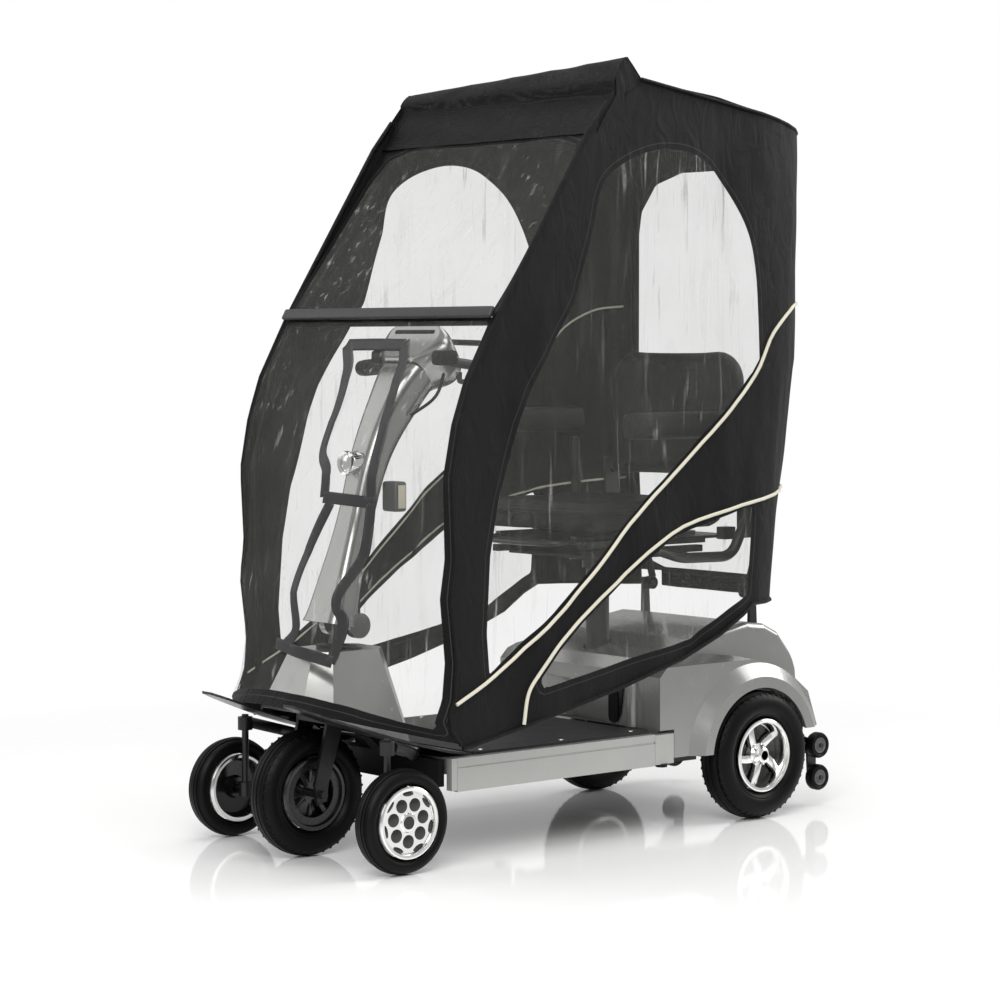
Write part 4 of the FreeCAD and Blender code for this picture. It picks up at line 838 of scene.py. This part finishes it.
@dataclass
class Tiller:
    """The steering column with its cover, head, controls and lamp."""

    def build(self) -> None:
        """Dress the tiller and add its rings, knobs, pods and cables."""
        dress("tiller_cover", Paints.SILVER)
        dress("tiller_head", Paints.SILVER)
        dress("tiller_frame", Paints.POWDER)
        dress("headlight", Paints.CHROME)
        for node, finish in (("throttle_paddle", Paints.BLACK_PLASTIC), ("brake_lever", Paints.POWDER),
                             ("horn_button", Paints.DIAL), ("speed_dial", Paints.DIAL),
                             ("ignition_key", Paints.CAST), ("handlebar_grips", Paints.GRIP)):
            dress(node, finish)
        self.pivot_caps()
        self.lamp_ring()
        self.key_pod()
        self.console()
        self.grip_ends()

    def pivot_caps(self) -> None:
        """Round caps over the tilt pivot and the seam of the cover."""
        form = Form()
        for side in Side:
            form.lathe([(0.0, 0.004), (0.017, 0.0035), (0.021, 0.001), (0.022, -0.002), (0.0, -0.002)],
                       (side.value * 0.0525, -0.452, 0.450), (side.value, 0, 0), 40)
        form.object("pivot_caps", Paints.ROLLER, "tiller", "silver_plastic")

    def lamp_ring(self) -> None:
        """The head lamp's bezel and the band under it."""
        low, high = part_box("headlight")
        centre = (low + high) / 2
        r = (high.x - low.x) / 2
        Form().lathe([(0.80 * r, 0.0), (1.04 * r, 0.001), (1.07 * r, 0.006), (1.0 * r, 0.011), (0.80 * r, 0.008)],
                     (centre.x, low.y + 0.006, centre.z), (0, -1, 0), 48).object(
            "lamp_bezel", Paints.CHROME, "tiller", "lamp_chrome")
        Form().lathe([(0.0, 0.006), (0.5 * r, 0.005), (0.82 * r, 0.001), (0.82 * r, -0.002), (0.0, -0.002)],
                     (centre.x, low.y + 0.003, centre.z), (0, -1, 0), 40).object(
            "lamp_lens", Paints.POLISH, "tiller", "lamp_chrome")
        Form().block((0.0, centre.y + 0.010, centre.z - 0.062), (0.066, 0.010, 0.016), 0.004).object(
            "tiller_clamp_band", Paints.GLOSS_BLACK, "tiller", "black_plastic")

    def key_pod(self) -> None:
        """The switch pod behind the column with its tag card."""
        Form().block((0.030, -0.350, 0.700), (0.046, 0.030, 0.060), 0.006, segments=3).object(
            "switch_pod", Paints.ROLLER, "tiller", "black_plastic")
        Form().block((0.0545, -0.350, 0.700), (0.0022, 0.018, 0.046), 0.0008).object(
            "switch_pod_card", Paints.CARD, "tiller", "key_metal")

    def console(self) -> None:
        """The black instrument face on top of the silver head, with its raised frame."""
        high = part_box("tiller_head")[1]
        lean = Matrix.Rotation(math.radians(-32), 4, "X")
        place = Vector((0.0, -0.2500, 1.0120))
        form = Form().block(place, (0.128, 0.060, 0.010), 0.004, lean, 3)
        form.block(place + Vector((0, 0.001, 0.004)), (0.112, 0.046, 0.008), 0.003, lean, 2)
        log.info("console sits %.3f m under the head's top", high.z - place.z)
        form.object("console_face", Paints.BLACK_PLASTIC, "tiller", "black_plastic")

    def grip_ends(self) -> None:
        """Rubber rings on the grips and the knobs beside the head."""
        form = Form()
        for side in Side:
            start = Vector((side.value * 0.150, -0.226, 0.958))
            end = Vector((side.value * 0.252, -0.214, 0.952))
            run = (end - start).normalized()
            for index in range(9):
                spot = start + (end - start) * (0.12 + 0.095 * index)
                form.lathe([(0.0145, -0.003), (0.0172, -0.0022), (0.0172, 0.0022), (0.0145, 0.003)], tuple(spot),
                           tuple(run), 28)
        form.object("grip_ribs", Paints.GRIP, "tiller", "grip_rubber")
        knobs = Form()
        for side in Side:
            knobs.block((side.value * 0.098, -0.276, 0.975), (0.036, 0.046, 0.030), 0.008, segments=3)
            knobs.rod(curve_through([(side.value * 0.085, -0.262, 0.962), (side.value * 0.082, -0.285, 0.90),
                                     (side.value * 0.050, -0.325, 0.86)], 6), 0.0032, 4)
        knobs.object("switch_blocks", Paints.BLACK_PLASTIC, "tiller", "black_plastic")


# ---- seat -------------------------------------------------------------------------------

@dataclass
class Pad:
    """A stuffed seat part that is blown up from a slightly smaller block."""
    node: str
    body: str
    crown: float = 0.012
    edge: float = 0.022
    shrink: float = 0.008
    taper: float = 0.0
    corner: float = 0.0
    swell: float = 4.0
    fill: float = 0.8

    def build(self) -> bpy.types.Object:
        """Shape, blow up and dress the pad.

        Returns:
            The finished pad.
        """
        low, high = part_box(self.node)
        size = high - low
        inner = Vector(max(0.004, part - 2 * self.shrink) for part in size)
        part = bmesh.new()
        bmesh.ops.create_cube(part, size=1.0)
        bmesh.ops.scale(part, vec=inner, verts=part.verts)
        if self.corner:
            top = [e for e in part.edges if all(v.co.z > 0 for v in e.verts)
                   and abs(e.verts[0].co.x - e.verts[1].co.x) < inner.x / 2
                   and abs(e.verts[0].co.y - e.verts[1].co.y) > inner.y / 2]
            bmesh.ops.bevel(part, geom=top, offset=self.corner, segments=7, profile=0.5, affect="EDGES",
                            material=-1)
        edge = min(self.edge, min(inner) * 0.42)
        sharp = [e for e in part.edges if e.calc_face_angle(0.0) > math.radians(40)]
        bmesh.ops.bevel(part, geom=sharp, offset=edge, segments=4, profile=0.5, affect="EDGES",
                        material=-1)
        bmesh.ops.subdivide_edges(part, edges=[e for e in part.edges if e.calc_length() > 0.05], cuts=8,
                                  use_grid_fill=True)
        if self.taper:
            for vert in part.verts:
                rise = (vert.co.z + inner.z / 2) / inner.z
                vert.co.x *= 1.0 - self.taper * max(0.0, rise - 0.45) ** 2 / 0.3
        bmesh.ops.translate(part, vec=(low + high) / 2, verts=part.verts)
        form = Form().take(part)
        pad = form.object(self.node + "_pad", Paints.VINYL, self.body, "seat_vinyl", [self.node], 180)
        self.blow_up(pad)
        return pad

    def blow_up(self, pad: bpy.types.Object) -> None:
        """Swell the pad with air pressure, hold it inside its block and smooth it."""
        scene = bpy.context.scene
        remesh = pad.modifiers.new("voxels", "REMESH")
        remesh.mode, remesh.voxel_size = "VOXEL", 0.0065
        self.settle(pad)
        start = [v.co.copy() for v in pad.data.vertices]
        cloth = pad.modifiers.new("cloth", "CLOTH")
        cloth.settings.use_pressure = True
        cloth.settings.uniform_pressure_force = self.swell
        cloth.settings.effector_weights.gravity = 0.0
        cloth.point_cache.frame_start, cloth.point_cache.frame_end = 1, 20
        for step in range(1, 21):
            scene.frame_set(step)
        self.settle(pad)
        scene.frame_set(1)
        low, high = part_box(self.node)
        for vert, before in zip(pad.data.vertices, start):
            move = vert.co - before
            if move.length > self.crown:
                vert.co = before + move.normalized() * self.crown
            for axis in range(3):
                vert.co[axis] = min(max(vert.co[axis], low[axis] - 0.001), high[axis] + 0.001)
        smooth = pad.modifiers.new("smooth", "SMOOTH")
        smooth.factor, smooth.iterations = 0.5, 3
        self.settle(pad)

    def settle(self, pad: bpy.types.Object) -> None:
        """Apply the pad's modifiers into its mesh."""
        graph = bpy.context.evaluated_depsgraph_get()
        shape = bpy.data.meshes.new_from_object(pad.evaluated_get(graph))
        pad.modifiers.clear()
        old, pad.data = pad.data, shape
        bpy.data.meshes.remove(old)
        for face in shape.polygons:
            face.use_smooth = True


@dataclass
class Seat:
    """The swivel seat with its cushion, backrest, armrests and welt."""

    def build(self) -> None:
        """Build the pads and the welt round the cushion."""
        Pad("seat_cushion", "seat", 0.014, 0.022, 0.007).build()
        Pad("backrest", "backrest", 0.014, 0.020, 0.007, taper=0.06, corner=0.062).build()
        for side in Side:
            Pad("armrest_" + side.word, "armrest_" + side.word, 0.004, 0.012, 0.002, swell=1.5).build()
        dress("swivel_lever", Paints.POWDER)
        self.welts()
        self.under_seat()

    def loop(self, half_x: float, half_y: float, corner: float) -> Line:
        """A rounded rectangle about the origin."""
        points = []
        for turn, (sx, sy) in zip((0, 90, 180, 270), ((1, 1), (-1, 1), (-1, -1), (1, -1))):
            points += arc(corner, turn, turn + 90, 7, (sx * (half_x - corner), sy * (half_y - corner)))
        return points + points[:1]

    def welts(self) -> None:
        """A sewn welt along the seam of the cushion."""
        low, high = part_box("seat_cushion")
        centre, size = (low + high) / 2, high - low
        form = Form()
        seam = low.z + 0.72 * size.z
        form.rod([(centre.x + x, centre.y + y, seam)
                  for x, y in self.loop(size.x / 2 - 0.003, size.y / 2 - 0.003, 0.026)], 0.0032, 3)
        form.object("cushion_welt", Paints.VINYL, "seat", "seat_vinyl")

    def under_seat(self) -> None:
        """The slide rails, the clamp plates and the front handle under the cushion."""
        form = Form()
        for x in (-0.12, 0.12):
            form.block((x, 0.215, 0.590), (0.030, 0.30, 0.012), 0.002)
            form.block((x, 0.215, 0.602), (0.018, 0.34, 0.010), 0.002)
        form.rod(curve_through([(-0.12, 0.05, 0.598), (-0.11, -0.005, 0.594), (0.0, -0.015, 0.592),
                                (0.11, -0.005, 0.594), (0.12, 0.05, 0.598)], 6), 0.005, 4)
        form.object("seat_slides", Paints.DARK_METAL, "seat", "black_steel")


# ---- canopy -------------------------------------------------------------------------------

@dataclass
class Canopy:
    """The weather canopy: cloth and clear sheets sewn over a bent tube frame.

    The walls are one sheet that runs from one front post round the back to the other. A place on it is
    (girth, height): girth equals Y along the flat side, then follows the rear corner and the back.
    """
    half: float = 0.343
    corner: float = 0.247
    lattice: float = 0.011
    tape_width: float = 0.023
    notch: tuple[tuple[float, float], ...] = ((0.584, 0.467), (0.584, 0.500), (0.644, 0.500), (0.644, 0.467))
    post: Line = None
    roof_line: Line = None

    def __post_init__(self) -> None:
        """Set the outlines that the sheets share."""
        self.post = [(0.238, -0.430), (0.287, -0.470), (0.331, -0.452), (0.400, -0.447), (0.522, -0.462),
                     (0.596, -0.452), (0.747, -0.460), (0.850, -0.441), (0.934, -0.412), (1.055, -0.346),
                     (1.413, -0.118), (1.519, -0.032)]
        self.roof_line = [(-0.032, 1.519), (0.030, 1.523), (0.242, 1.495), (0.443, 1.458), (0.615, 1.434)]

    def post_y(self, z: float) -> float:
        """The front edge of the side wall at a height."""
        return along(self.post, z)

    def rear_y(self, z: float) -> float:
        """The back of the canopy at a height."""
        return 0.538 + 0.073 * min(1.0, max(0.0, (z - 0.467) / 0.502))

    def wall(self, girth: float, z: float, out: float = 0.0) -> tuple[Vector, Vector]:
        """Find a place on the left half of the wall.

        Args:
            girth: the place round the wall.
            z: the height.
            out: how far it stands off the sheet.

        Returns:
            The point and the outward direction.
        """
        start = self.rear_y(z) - self.corner
        swing = (girth - start) / self.corner
        if swing <= 0:
            point, normal = Vector((self.half, girth, z)), Vector((1, 0, 0))
        elif swing < math.pi / 2:
            normal = Vector((math.cos(swing), math.sin(swing), 0))
            point = Vector((self.half - self.corner, start, z)) + normal * self.corner
        else:
            rest = girth - start - self.corner * math.pi / 2
            point = Vector((self.half - self.corner - rest, start + self.corner, z))
            normal = Vector((0, 1, 0))
        return point + normal * (out + self.billow(girth, z)), normal

    def billow(self, girth: float, z: float) -> float:
        """How far the loose sheet folds in and out of its plane."""
        free = min(1.0, max(0.0, (girth - self.post_y(z)) / 0.12)) * min(1.0, max(0.0, (1.50 - z) / 0.15))
        folds = math.sin(38 * girth + 5 * math.sin(2.2 * z)) * 0.0016
        soft = noise.noise(Vector((girth * 6.0, z * 2.2, 0.3))) * 0.010
        small = noise.noise(Vector((girth * 24.0, z * 7.0, 4.0))) * 0.0030
        return free * (folds + soft + small) - 0.001

    def flap(self, x: float, z: float, out: float = 0.0) -> Vector:
        """A place on the bowed front sheet."""
        bow = 0.168 * max(0.0, 1.052 - z) / 0.752 * (1 - (x / self.half) ** 2)
        fold = noise.noise(Vector((x * 14.0, z * 3.0, 8.0))) * 0.006 * (1 - (x / self.half) ** 4)
        return Vector((x, self.post_y(z) - bow - out + fold, z))

    def cut(self, outline: Line, windows: Sequence[Line], step: float) -> bmesh.types.BMesh:
        """Cut a flat piece of cloth.

        Args:
            outline: the cut's corners.
            windows: outlines of its clear parts.
            step: the spacing of its lattice.

        Returns:
            The flat piece, with its window depth kept as an attribute.
        """
        part = bmesh.new()
        part.faces.new([part.verts.new((a, b, 0)) for a, b in outline])
        for axis in (0, 1):
            values = [corner[axis] for corner in outline]
            direction = Vector((1, 0, 0)) if axis == 0 else Vector((0, 1, 0))
            for place in np.arange(min(values) + step, max(values), step):
                bmesh.ops.bisect_plane(part, geom=part.verts[:] + part.edges[:] + part.faces[:],
                                       plane_co=direction * place, plane_no=direction)
        bmesh.ops.remove_doubles(part, verts=part.verts, dist=step * 0.08)
        part.verts.ensure_lookup_table()
        spots = np.array([(v.co.x, v.co.y) for v in part.verts])
        depth = np.full(len(spots), -1.0)
        for window in windows:
            depth = np.maximum(depth, depth_inside(spots, window))
        layer = part.verts.layers.float.new("window")
        for vert, value in zip(part.verts, depth):
            vert[layer] = float(value)
        return part

    def area(self, outline: Line) -> float:
        """The flat area of a cut."""
        return abs(sum(a[0] * b[1] - b[0] * a[1] for a, b in zip(outline, outline[1:] + outline[:1]))) / 2

    def declare(self, outline: Line, copies: int) -> None:
        """Work out the width, height and area of a sheet's flat cut, without keeping them."""
        wide = (max(p[0] for p in outline) - min(p[0] for p in outline)) * copies
        tall = max(p[1] for p in outline) - min(p[1] for p in outline)
        self.area(outline) * copies

    def wall_outline(self) -> Line:
        """The flat cut of the left half of the wall."""
        hem = [(-0.430, 0.236), (-0.283, 0.264), (-0.014, 0.325), (0.141, 0.368), (0.248, 0.410), (0.310, 0.448),
               (0.345, 0.467)]
        ends = list(self.notch) + [(self.middle_girth(0.467), 0.467)]
        ends += [(self.middle_girth(z), z) for z in (0.72, 0.97, 1.433)]
        top = []
        start = self.rear_y(1.44) - self.corner
        for angle in np.linspace(90, 0, 7):
            y = start + self.corner * math.sin(math.radians(angle))
            top.append((start + self.corner * math.radians(angle), along(self.roof_line, y)))
        top += [(0.242, 1.495), (0.030, 1.521)]
        front = [(y, z) for z, y in self.post[::-1]]
        return hem + ends + top + front

    def middle_girth(self, z: float) -> float:
        """The girth of the back's centre line."""
        return self.rear_y(z) - self.corner + self.corner * math.pi / 2 + (self.half - self.corner)

    def piping_lines(self) -> dict[str, Line]:
        """The two cream pipings of a side, as flat places."""
        upper = [(0.560, 1.088), (0.487, 1.077), (0.405, 1.027), (0.345, 0.938), (0.255, 0.854), (0.158, 0.772),
                 (0.036, 0.684), (-0.065, 0.590), (-0.142, 0.520), (-0.199, 0.470), (-0.326, 0.383),
                 (-0.447, 0.322)]
        lower = [(0.556, 0.702), (0.455, 0.693), (0.307, 0.672), (0.107, 0.622), (-0.043, 0.531),
                 (-0.135, 0.466), (-0.195, 0.414), (-0.244, 0.361), (-0.268, 0.325), (-0.279, 0.270)]
        return {"upper": curve_through(upper, 5), "lower": curve_through(lower, 5)}

    def side_windows(self) -> list[Line]:
        """The clear parts of a side: the tall arch, the low strip and the back."""
        arch = [(-0.094, 1.238), (-0.080, 1.300), (-0.050, 1.338), (0.015, 1.372), (0.097, 1.390),
                (0.180, 1.378), (0.253, 1.325), (0.312, 1.245), (0.342, 1.160), (0.355, 1.054), (0.360, 0.972)]
        slope = [(0.340, 0.945), (0.252, 0.864), (0.155, 0.782), (0.033, 0.694), (-0.069, 0.600),
                 (-0.146, 0.530), (-0.203, 0.480), (-0.326, 0.396), (-0.362, 0.372)]
        front = [(-0.369, 0.451), (-0.359, 0.598), (-0.338, 0.705), (-0.323, 0.747), (-0.291, 0.849),
                 (-0.262, 0.915), (-0.205, 1.000), (-0.144, 1.088)]
        tall = curve_through(arch, 5) + slope + front
        low = [(0.338, 0.672), (0.310, 0.664), (0.110, 0.613), (-0.037, 0.523), (-0.128, 0.458),
               (-0.187, 0.406), (-0.236, 0.353), (-0.230, 0.336), (0.026, 0.383), (0.164, 0.406),
               (0.327, 0.490)]
        back = [(0.588, 0.560), (0.610, 0.520), (0.650, 0.505), (1.2, 0.505), (1.2, 1.385), (0.700, 1.385),
                (0.635, 1.360), (0.602, 1.300), (0.590, 1.200)]
        return [tall, low, back]

    def walls(self) -> bpy.types.Object:
        """Sew the wall sheet from post to post."""
        outline = self.wall_outline()
        part = self.cut(outline, self.side_windows(), self.lattice)
        for vert in part.verts:
            vert.co = self.wall(vert.co.x, vert.co.y)[0]
            vert.co.x = max(vert.co.x, 0.0) if vert.co.x > 0.0006 else 0.0
        bmesh.ops.recalc_face_normals(part, faces=part.faces)
        if sum(face.normal.x for face in part.faces) < 0:
            bmesh.ops.reverse_faces(part, faces=part.faces)
        bmesh.ops.mirror(part, geom=part.verts[:] + part.edges[:] + part.faces[:], axis="X",
                         merge_dist=0.0004)
        form = Form()
        form.mesh = part
        sheet = form.object("canopy_walls", Paints.WALLS, "canopy", "black_nylon",
                            ["canopy_side_left", "canopy_side_right", "canopy_rear"], 180)
        self.declare(outline, 2)
        return sheet

    def bind_edges(self) -> None:
        """The pipings, the hem roll and the post binding of the walls."""
        piping, hem = Form(), Form()
        rolls = [(y, z) for y, z in self.wall_outline()[:7]] + \
                [(g, 0.467) for g in np.arange(0.40, self.notch[0][0], 0.05)] + list(self.notch) + \
                [(g, 0.467) for g in np.arange(0.69, self.middle_girth(0.467), 0.05)] + \
                [(self.middle_girth(0.467), 0.467)]
        posts = [(self.post_y(z) + 0.002, z) for z in np.arange(0.244, 1.50, 0.03)]
        for side in Side:
            flip = Vector((side.value, 1, 1))
            for line in self.piping_lines().values():
                piping.rod([self.wall(g, z, 0.0028)[0] * flip for g, z in line], 0.0036, 3)
            hem.rod([self.wall(g, z, 0.001)[0] * flip for g, z in rolls], 0.0042, 3)
            hem.rod([self.wall(g, z, 0.0)[0] * flip for g, z in posts], 0.0046, 3)
        piping.object("wall_piping", Paints.PIPING, "canopy", "black_nylon")
        hem.object("wall_bindings", Paints.NYLON, "canopy", "black_nylon")

    def front_flap(self) -> bpy.types.Object:
        """The bowed clear front sheet with its dark hem."""
        xs = np.linspace(-self.half + 0.001, self.half - 0.001, 21)
        hem = [(float(x), 0.302 - 0.056 * (float(x) / self.half) ** 2) for x in xs]
        outline = hem + [(self.half - 0.001, 1.052), (0.001 - self.half, 1.052)]
        inner = self.half - 0.016
        window = [(float(x) * inner / self.half, 0.330 - 0.056 * (float(x) / self.half) ** 2) for x in xs]
        window += [(inner, 1.046), (-inner, 1.046)]
        part = self.cut(outline, [window], self.lattice)
        for vert in part.verts:
            vert.co = self.flap(vert.co.x, vert.co.y)
        form = Form()
        form.mesh = part
        sheet = form.object("front_flap", Paints.WALLS, "canopy", "clear_vinyl", ["canopy_front_flap"], 180)
        self.declare(outline, 1)
        return sheet

    def tape_loops(self) -> None:
        """The two grey tape loops sewn on the front sheet."""
        runs = [
            [(-0.075, 1.000), (0.015, 1.001), (0.107, 1.000)],
            [(0.107, 1.004), (0.140, 0.965), (0.158, 0.900), (0.166, 0.837), (0.168, 0.770), (0.174, 0.695)],
            [(0.180, 0.699), (0.115, 0.703), (0.049, 0.706)],
            [(0.052, 0.706), (0.046, 0.757), (0.014, 0.795), (0.010, 0.873), (-0.018, 0.951), (-0.073, 1.002)],
            [(0.174, 0.699), (0.172, 0.640), (0.164, 0.590), (0.128, 0.512), (0.146, 0.467), (0.123, 0.392)],
            [(0.070, 0.697), (0.042, 0.642), (0.018, 0.583), (0.011, 0.520), (0.028, 0.450), (-0.007, 0.415)],
            [(-0.038, 0.419), (0.045, 0.407), (0.128, 0.394)]]
        form, total = Form(), 0.0
        for run in runs:
            outline = ribbon(curve_through(run, 8), self.tape_width)
            total += self.area(outline)
            part = self.cut(outline, [], 0.008)
            for vert in part.verts:
                vert.co = self.flap(vert.co.x, vert.co.y, 0.0022)
            form.take(part)
        tape = form.object("front_tape_loops", Paints.TAPE, "canopy", "black_nylon", (), 180)
        solid = tape.modifiers.new("thickness", "SOLIDIFY")
        solid.thickness = 0.0012
        total / self.tape_width

    def windscreen(self) -> bpy.types.Object:
        """The raked clear sheet between the cross bar and the brow."""
        low, high = (1.052, -0.350), (1.416, -0.088)
        outline = [(-self.half + 0.002, 0.0), (self.half - 0.002, 0.0), (self.half - 0.002, 0.449),
                   (0.002 - self.half, 0.449)]
        window = [(-0.326, 0.012), (0.326, 0.012), (0.318, 0.36), (0.300, 0.418), (0.24, 0.436),
                  (-0.24, 0.436), (-0.300, 0.418), (-0.318, 0.36)]
        part = self.cut(outline, [window], self.lattice)
        for vert in part.verts:
            share = vert.co.y / 0.449
            sag = noise.noise(Vector((vert.co.x * 8, share * 3, 2.0))) * 0.005
            vert.co = (vert.co.x, low[1] + (high[1] - low[1]) * share + sag,
                       low[0] + (high[0] - low[0]) * share - sag)
        form = Form()
        form.mesh = part
        sheet = form.object("windscreen", Paints.WALLS, "canopy", "clear_vinyl", ["canopy_windscreen"], 180)
        self.declare(outline, 1)
        return sheet

    def cross_bar(self) -> None:
        """The grey sleeve round the bar where the flap meets the windscreen."""
        form = Form()
        form.block((0.0, -0.353, 1.063), (2 * self.half - 0.012, 0.010, 0.024), 0.004,
                   Matrix.Rotation(math.radians(-30), 4, "X"), 3)
        form.object("cross_bar_sleeve", Paints.BAR_TAPE, "canopy", "black_nylon")

    def brow(self) -> bpy.types.Object:
        """The soft box along the top front edge."""
        section = [(-0.092, 1.414), (-0.066, 1.455), (-0.040, 1.492), (-0.042, 1.522), (-0.031, 1.545),
                   (-0.019, 1.564), (-0.011, 1.565), (0.008, 1.544), (0.030, 1.521), (0.008, 1.505),
                   (-0.024, 1.490)]
        lengths = [0.0]
        for a, b in zip(section, section[1:]):
            lengths.append(lengths[-1] + math.dist(a, b))
        girth = lengths[-1]
        outline = [(-self.half, 0.0), (self.half, 0.0), (self.half, girth), (-self.half, girth)]
        part = self.cut(outline, [], self.lattice)
        ys, zs = [p[0] for p in section], [p[1] for p in section]
        for vert in part.verts:
            x, at = vert.co.x, vert.co.y
            y, z = float(np.interp(at, lengths, ys)), float(np.interp(at, lengths, zs))
            drop = 0.030 * (0.5 - x / (2 * self.half)) * max(0.0, (z - 1.50) / 0.065)
            fold = noise.noise(Vector((x * 9.0, at * 22.0, 1.0))) * 0.004
            vert.co = (x, y + fold - 0.001, z - drop - abs(fold) * 0.6)
        form = Form()
        form.mesh = part
        for hand in (-1, 1):
            end = bmesh.new()
            ring = [end.verts.new((hand * (self.half - 0.0005), y, z - (0.030 if hand < 0 else 0.0)
                                   * max(0.0, (z - 1.50) / 0.065))) for y, z in section]
            end.faces.new(ring)
            form.take(end)
        bmesh.ops.remove_doubles(form.mesh, verts=form.mesh.verts, dist=0.0012)
        sheet = form.object("brow_cover", Paints.NYLON, "canopy", "black_nylon", ["canopy_brow"], 50)
        self.declare(outline, 1)
        return sheet

    def roof(self) -> bpy.types.Object:
        """The roof sheet, which sags a little between the hoops."""
        start = self.rear_y(1.44) - self.corner
        bend = arc(self.corner, 0, 90, 9, (self.half - self.corner, start))
        right = [(self.half, 0.026), *bend]
        outline = right + [(-x, y) for x, y in right[::-1]]
        part = self.cut(outline, [], self.lattice * 1.4)
        for vert in part.verts:
            x, y = vert.co.x, vert.co.y
            sag = 0.006 * math.sin(math.pi * min(1.0, max(0.0, y / 0.38))) * (1 - (x / self.half) ** 2)
            fold = noise.noise(Vector((x * 7.0, y * 9.0, 5.0))) * 0.004
            vert.co = (x, y, along(self.roof_line, y) + 0.002 - sag + fold)
        if sum(face.normal.z for face in part.faces) < 0:
            bmesh.ops.reverse_faces(part, faces=part.faces)
        form = Form()
        form.mesh = part
        sheet = form.object("roof_sheet", Paints.NYLON, "canopy", "black_nylon", ["canopy_roof"], 180)
        self.declare(outline, 1)
        welt = Form()
        rim = [(x, y, along(self.roof_line, y) + 0.001) for x, y in right + [(-x, y) for x, y in right[::-1]]]
        welt.rod(rim, 0.0036, 3)
        welt.object("roof_welt", Paints.NYLON, "canopy", "black_nylon")
        return sheet

    def build(self) -> None:
        """Build every sheet and the trims on them."""
        dress("canopy_frame", Paints.POLE)
        self.walls()
        self.bind_edges()
        self.front_flap()
        self.tape_loops()
        self.windscreen()
        self.cross_bar()
        self.brow()
        self.roof()


# ---- studio -------------------------------------------------------------------------------

@dataclass
class Studio:
    """A pale glossy floor, soft lights and the camera."""
    eye: Place = (4.4458, -3.7813, 0.9993)
    azimuth: float = 50.0
    elevation: float = 3.14
    lens: float = 101.4
    sky: float = 0.55

    def build(self) -> None:
        """Build the floor, the light and the camera."""
        self.floor()
        self.light("key_light", (3.2, -3.4, 3.6), 3.0, 210.0)
        self.light("left_fill", (-3.6, -2.6, 2.6), 3.0, 35.0)
        self.light("rear_fill", (1.5, 4.0, 3.0), 3.0, 120.0)
        self.light("top_light", (0.0, 0.0, 4.4), 3.5, 130.0)
        self.world()
        self.camera()

    def floor(self) -> None:
        """A wide white floor with a soft mirror."""
        part = bmesh.new()
        bmesh.ops.create_grid(part, x_segments=2, y_segments=2, size=14.0)
        shape = bpy.data.meshes.new("floor")
        part.to_mesh(shape)
        part.free()
        recipe = Recipe("white_floor")
        tone = recipe.mix(recipe.cloud(1.5), (0.90, 0.90, 0.895), (0.93, 0.93, 0.925))
        reach = recipe.node("ShaderNodeVectorMath", {"operation": "LENGTH"}, {0: recipe.places}, 1)
        fade = 1.0 - reach.ramp(1.2, 2.3)
        shape.materials.append(recipe.finish({"Base Color": tone, "Roughness": 0.07,
                                              "Specular IOR Level": 0.5, "Alpha": fade}))
        ground = bpy.data.objects.new("floor", shape)
        bpy.context.scene.collection.objects.link(ground)

    def light(self, name: str, place: Place, size: float, power: float) -> None:
        """A square soft light aimed at the middle of the scooter."""
        data = bpy.data.lights.new(name, "AREA")
        data.shape, data.size, data.energy = "SQUARE", size, power
        lamp = bpy.data.objects.new(name, data)
        lamp.location = place
        aim = Vector((0, 0, 0.7)) - Vector(place)
        lamp.rotation_euler = aim.to_track_quat("-Z", "Y").to_euler()
        bpy.context.scene.collection.objects.link(lamp)

    def world(self) -> None:
        """A bright even sky."""
        sky = bpy.data.worlds.new("studio")
        sky.use_nodes = True
        tree = sky.node_tree
        shade = tree.nodes["Background"]
        shade.inputs["Color"].default_value = (1.0, 1.0, 1.0, 1.0)
        seen = tree.nodes.new("ShaderNodeLightPath")
        level = tree.nodes.new("ShaderNodeMapRange")
        level.inputs["To Min"].default_value = self.sky
        level.inputs["To Max"].default_value = 1.0
        tree.links.new(seen.outputs["Is Camera Ray"], level.inputs["Value"])
        tree.links.new(level.outputs["Result"], shade.inputs["Strength"])
        bpy.context.scene.world = sky
        bpy.context.scene.view_settings.view_transform = "Standard"

    def camera(self) -> None:
        """The camera, level with the seat and ahead on the left."""
        data = bpy.data.cameras.new("camera")
        data.lens, data.sensor_width = self.lens, 36.0
        eye = bpy.data.objects.new("camera", data)
        turn, rise = math.radians(self.azimuth), math.radians(self.elevation)
        back = Vector((math.sin(turn) * math.cos(rise), -math.cos(turn) * math.cos(rise), math.sin(rise)))
        eye.location = self.eye
        eye.rotation_euler = back.to_track_quat("Z", "Y").to_euler()
        bpy.context.scene.collection.objects.link(eye)
        bpy.context.scene.camera = eye


def build_wheels() -> None:
    """Build all the wheels."""
    for side in Side:
        word = side.word
        DriveWheel("rear_wheel_" + word, "rear_tyre_" + word, "rear_rim_" + word, side.value,
                   0.076, 46).build()
        OutriggerWheel("side_wheel_" + word, "side_tyre_" + word, "side_rim_" + word, side.value,
                       0.068).build()
        for level in ("upper", "lower"):
            AntiTipWheel(f"anti_tip_wheel_{level}_{word}", f"anti_tip_{level}_{word}").build()
    SteeredWheel("front_wheel", "front_tyre", "front_rim", 1, 0.072, 40).build()


def main() -> None:
    """Build the whole scooter in order."""
    logging.basicConfig(level=logging.INFO, format="%(name)s %(message)s")
    Studio().build()
    build_wheels()
    Bodywork().build()
    Deck().build()
    Tiller().build()
    Seat().build()
    Canopy().build()


if __name__ == "__main__":
    main()
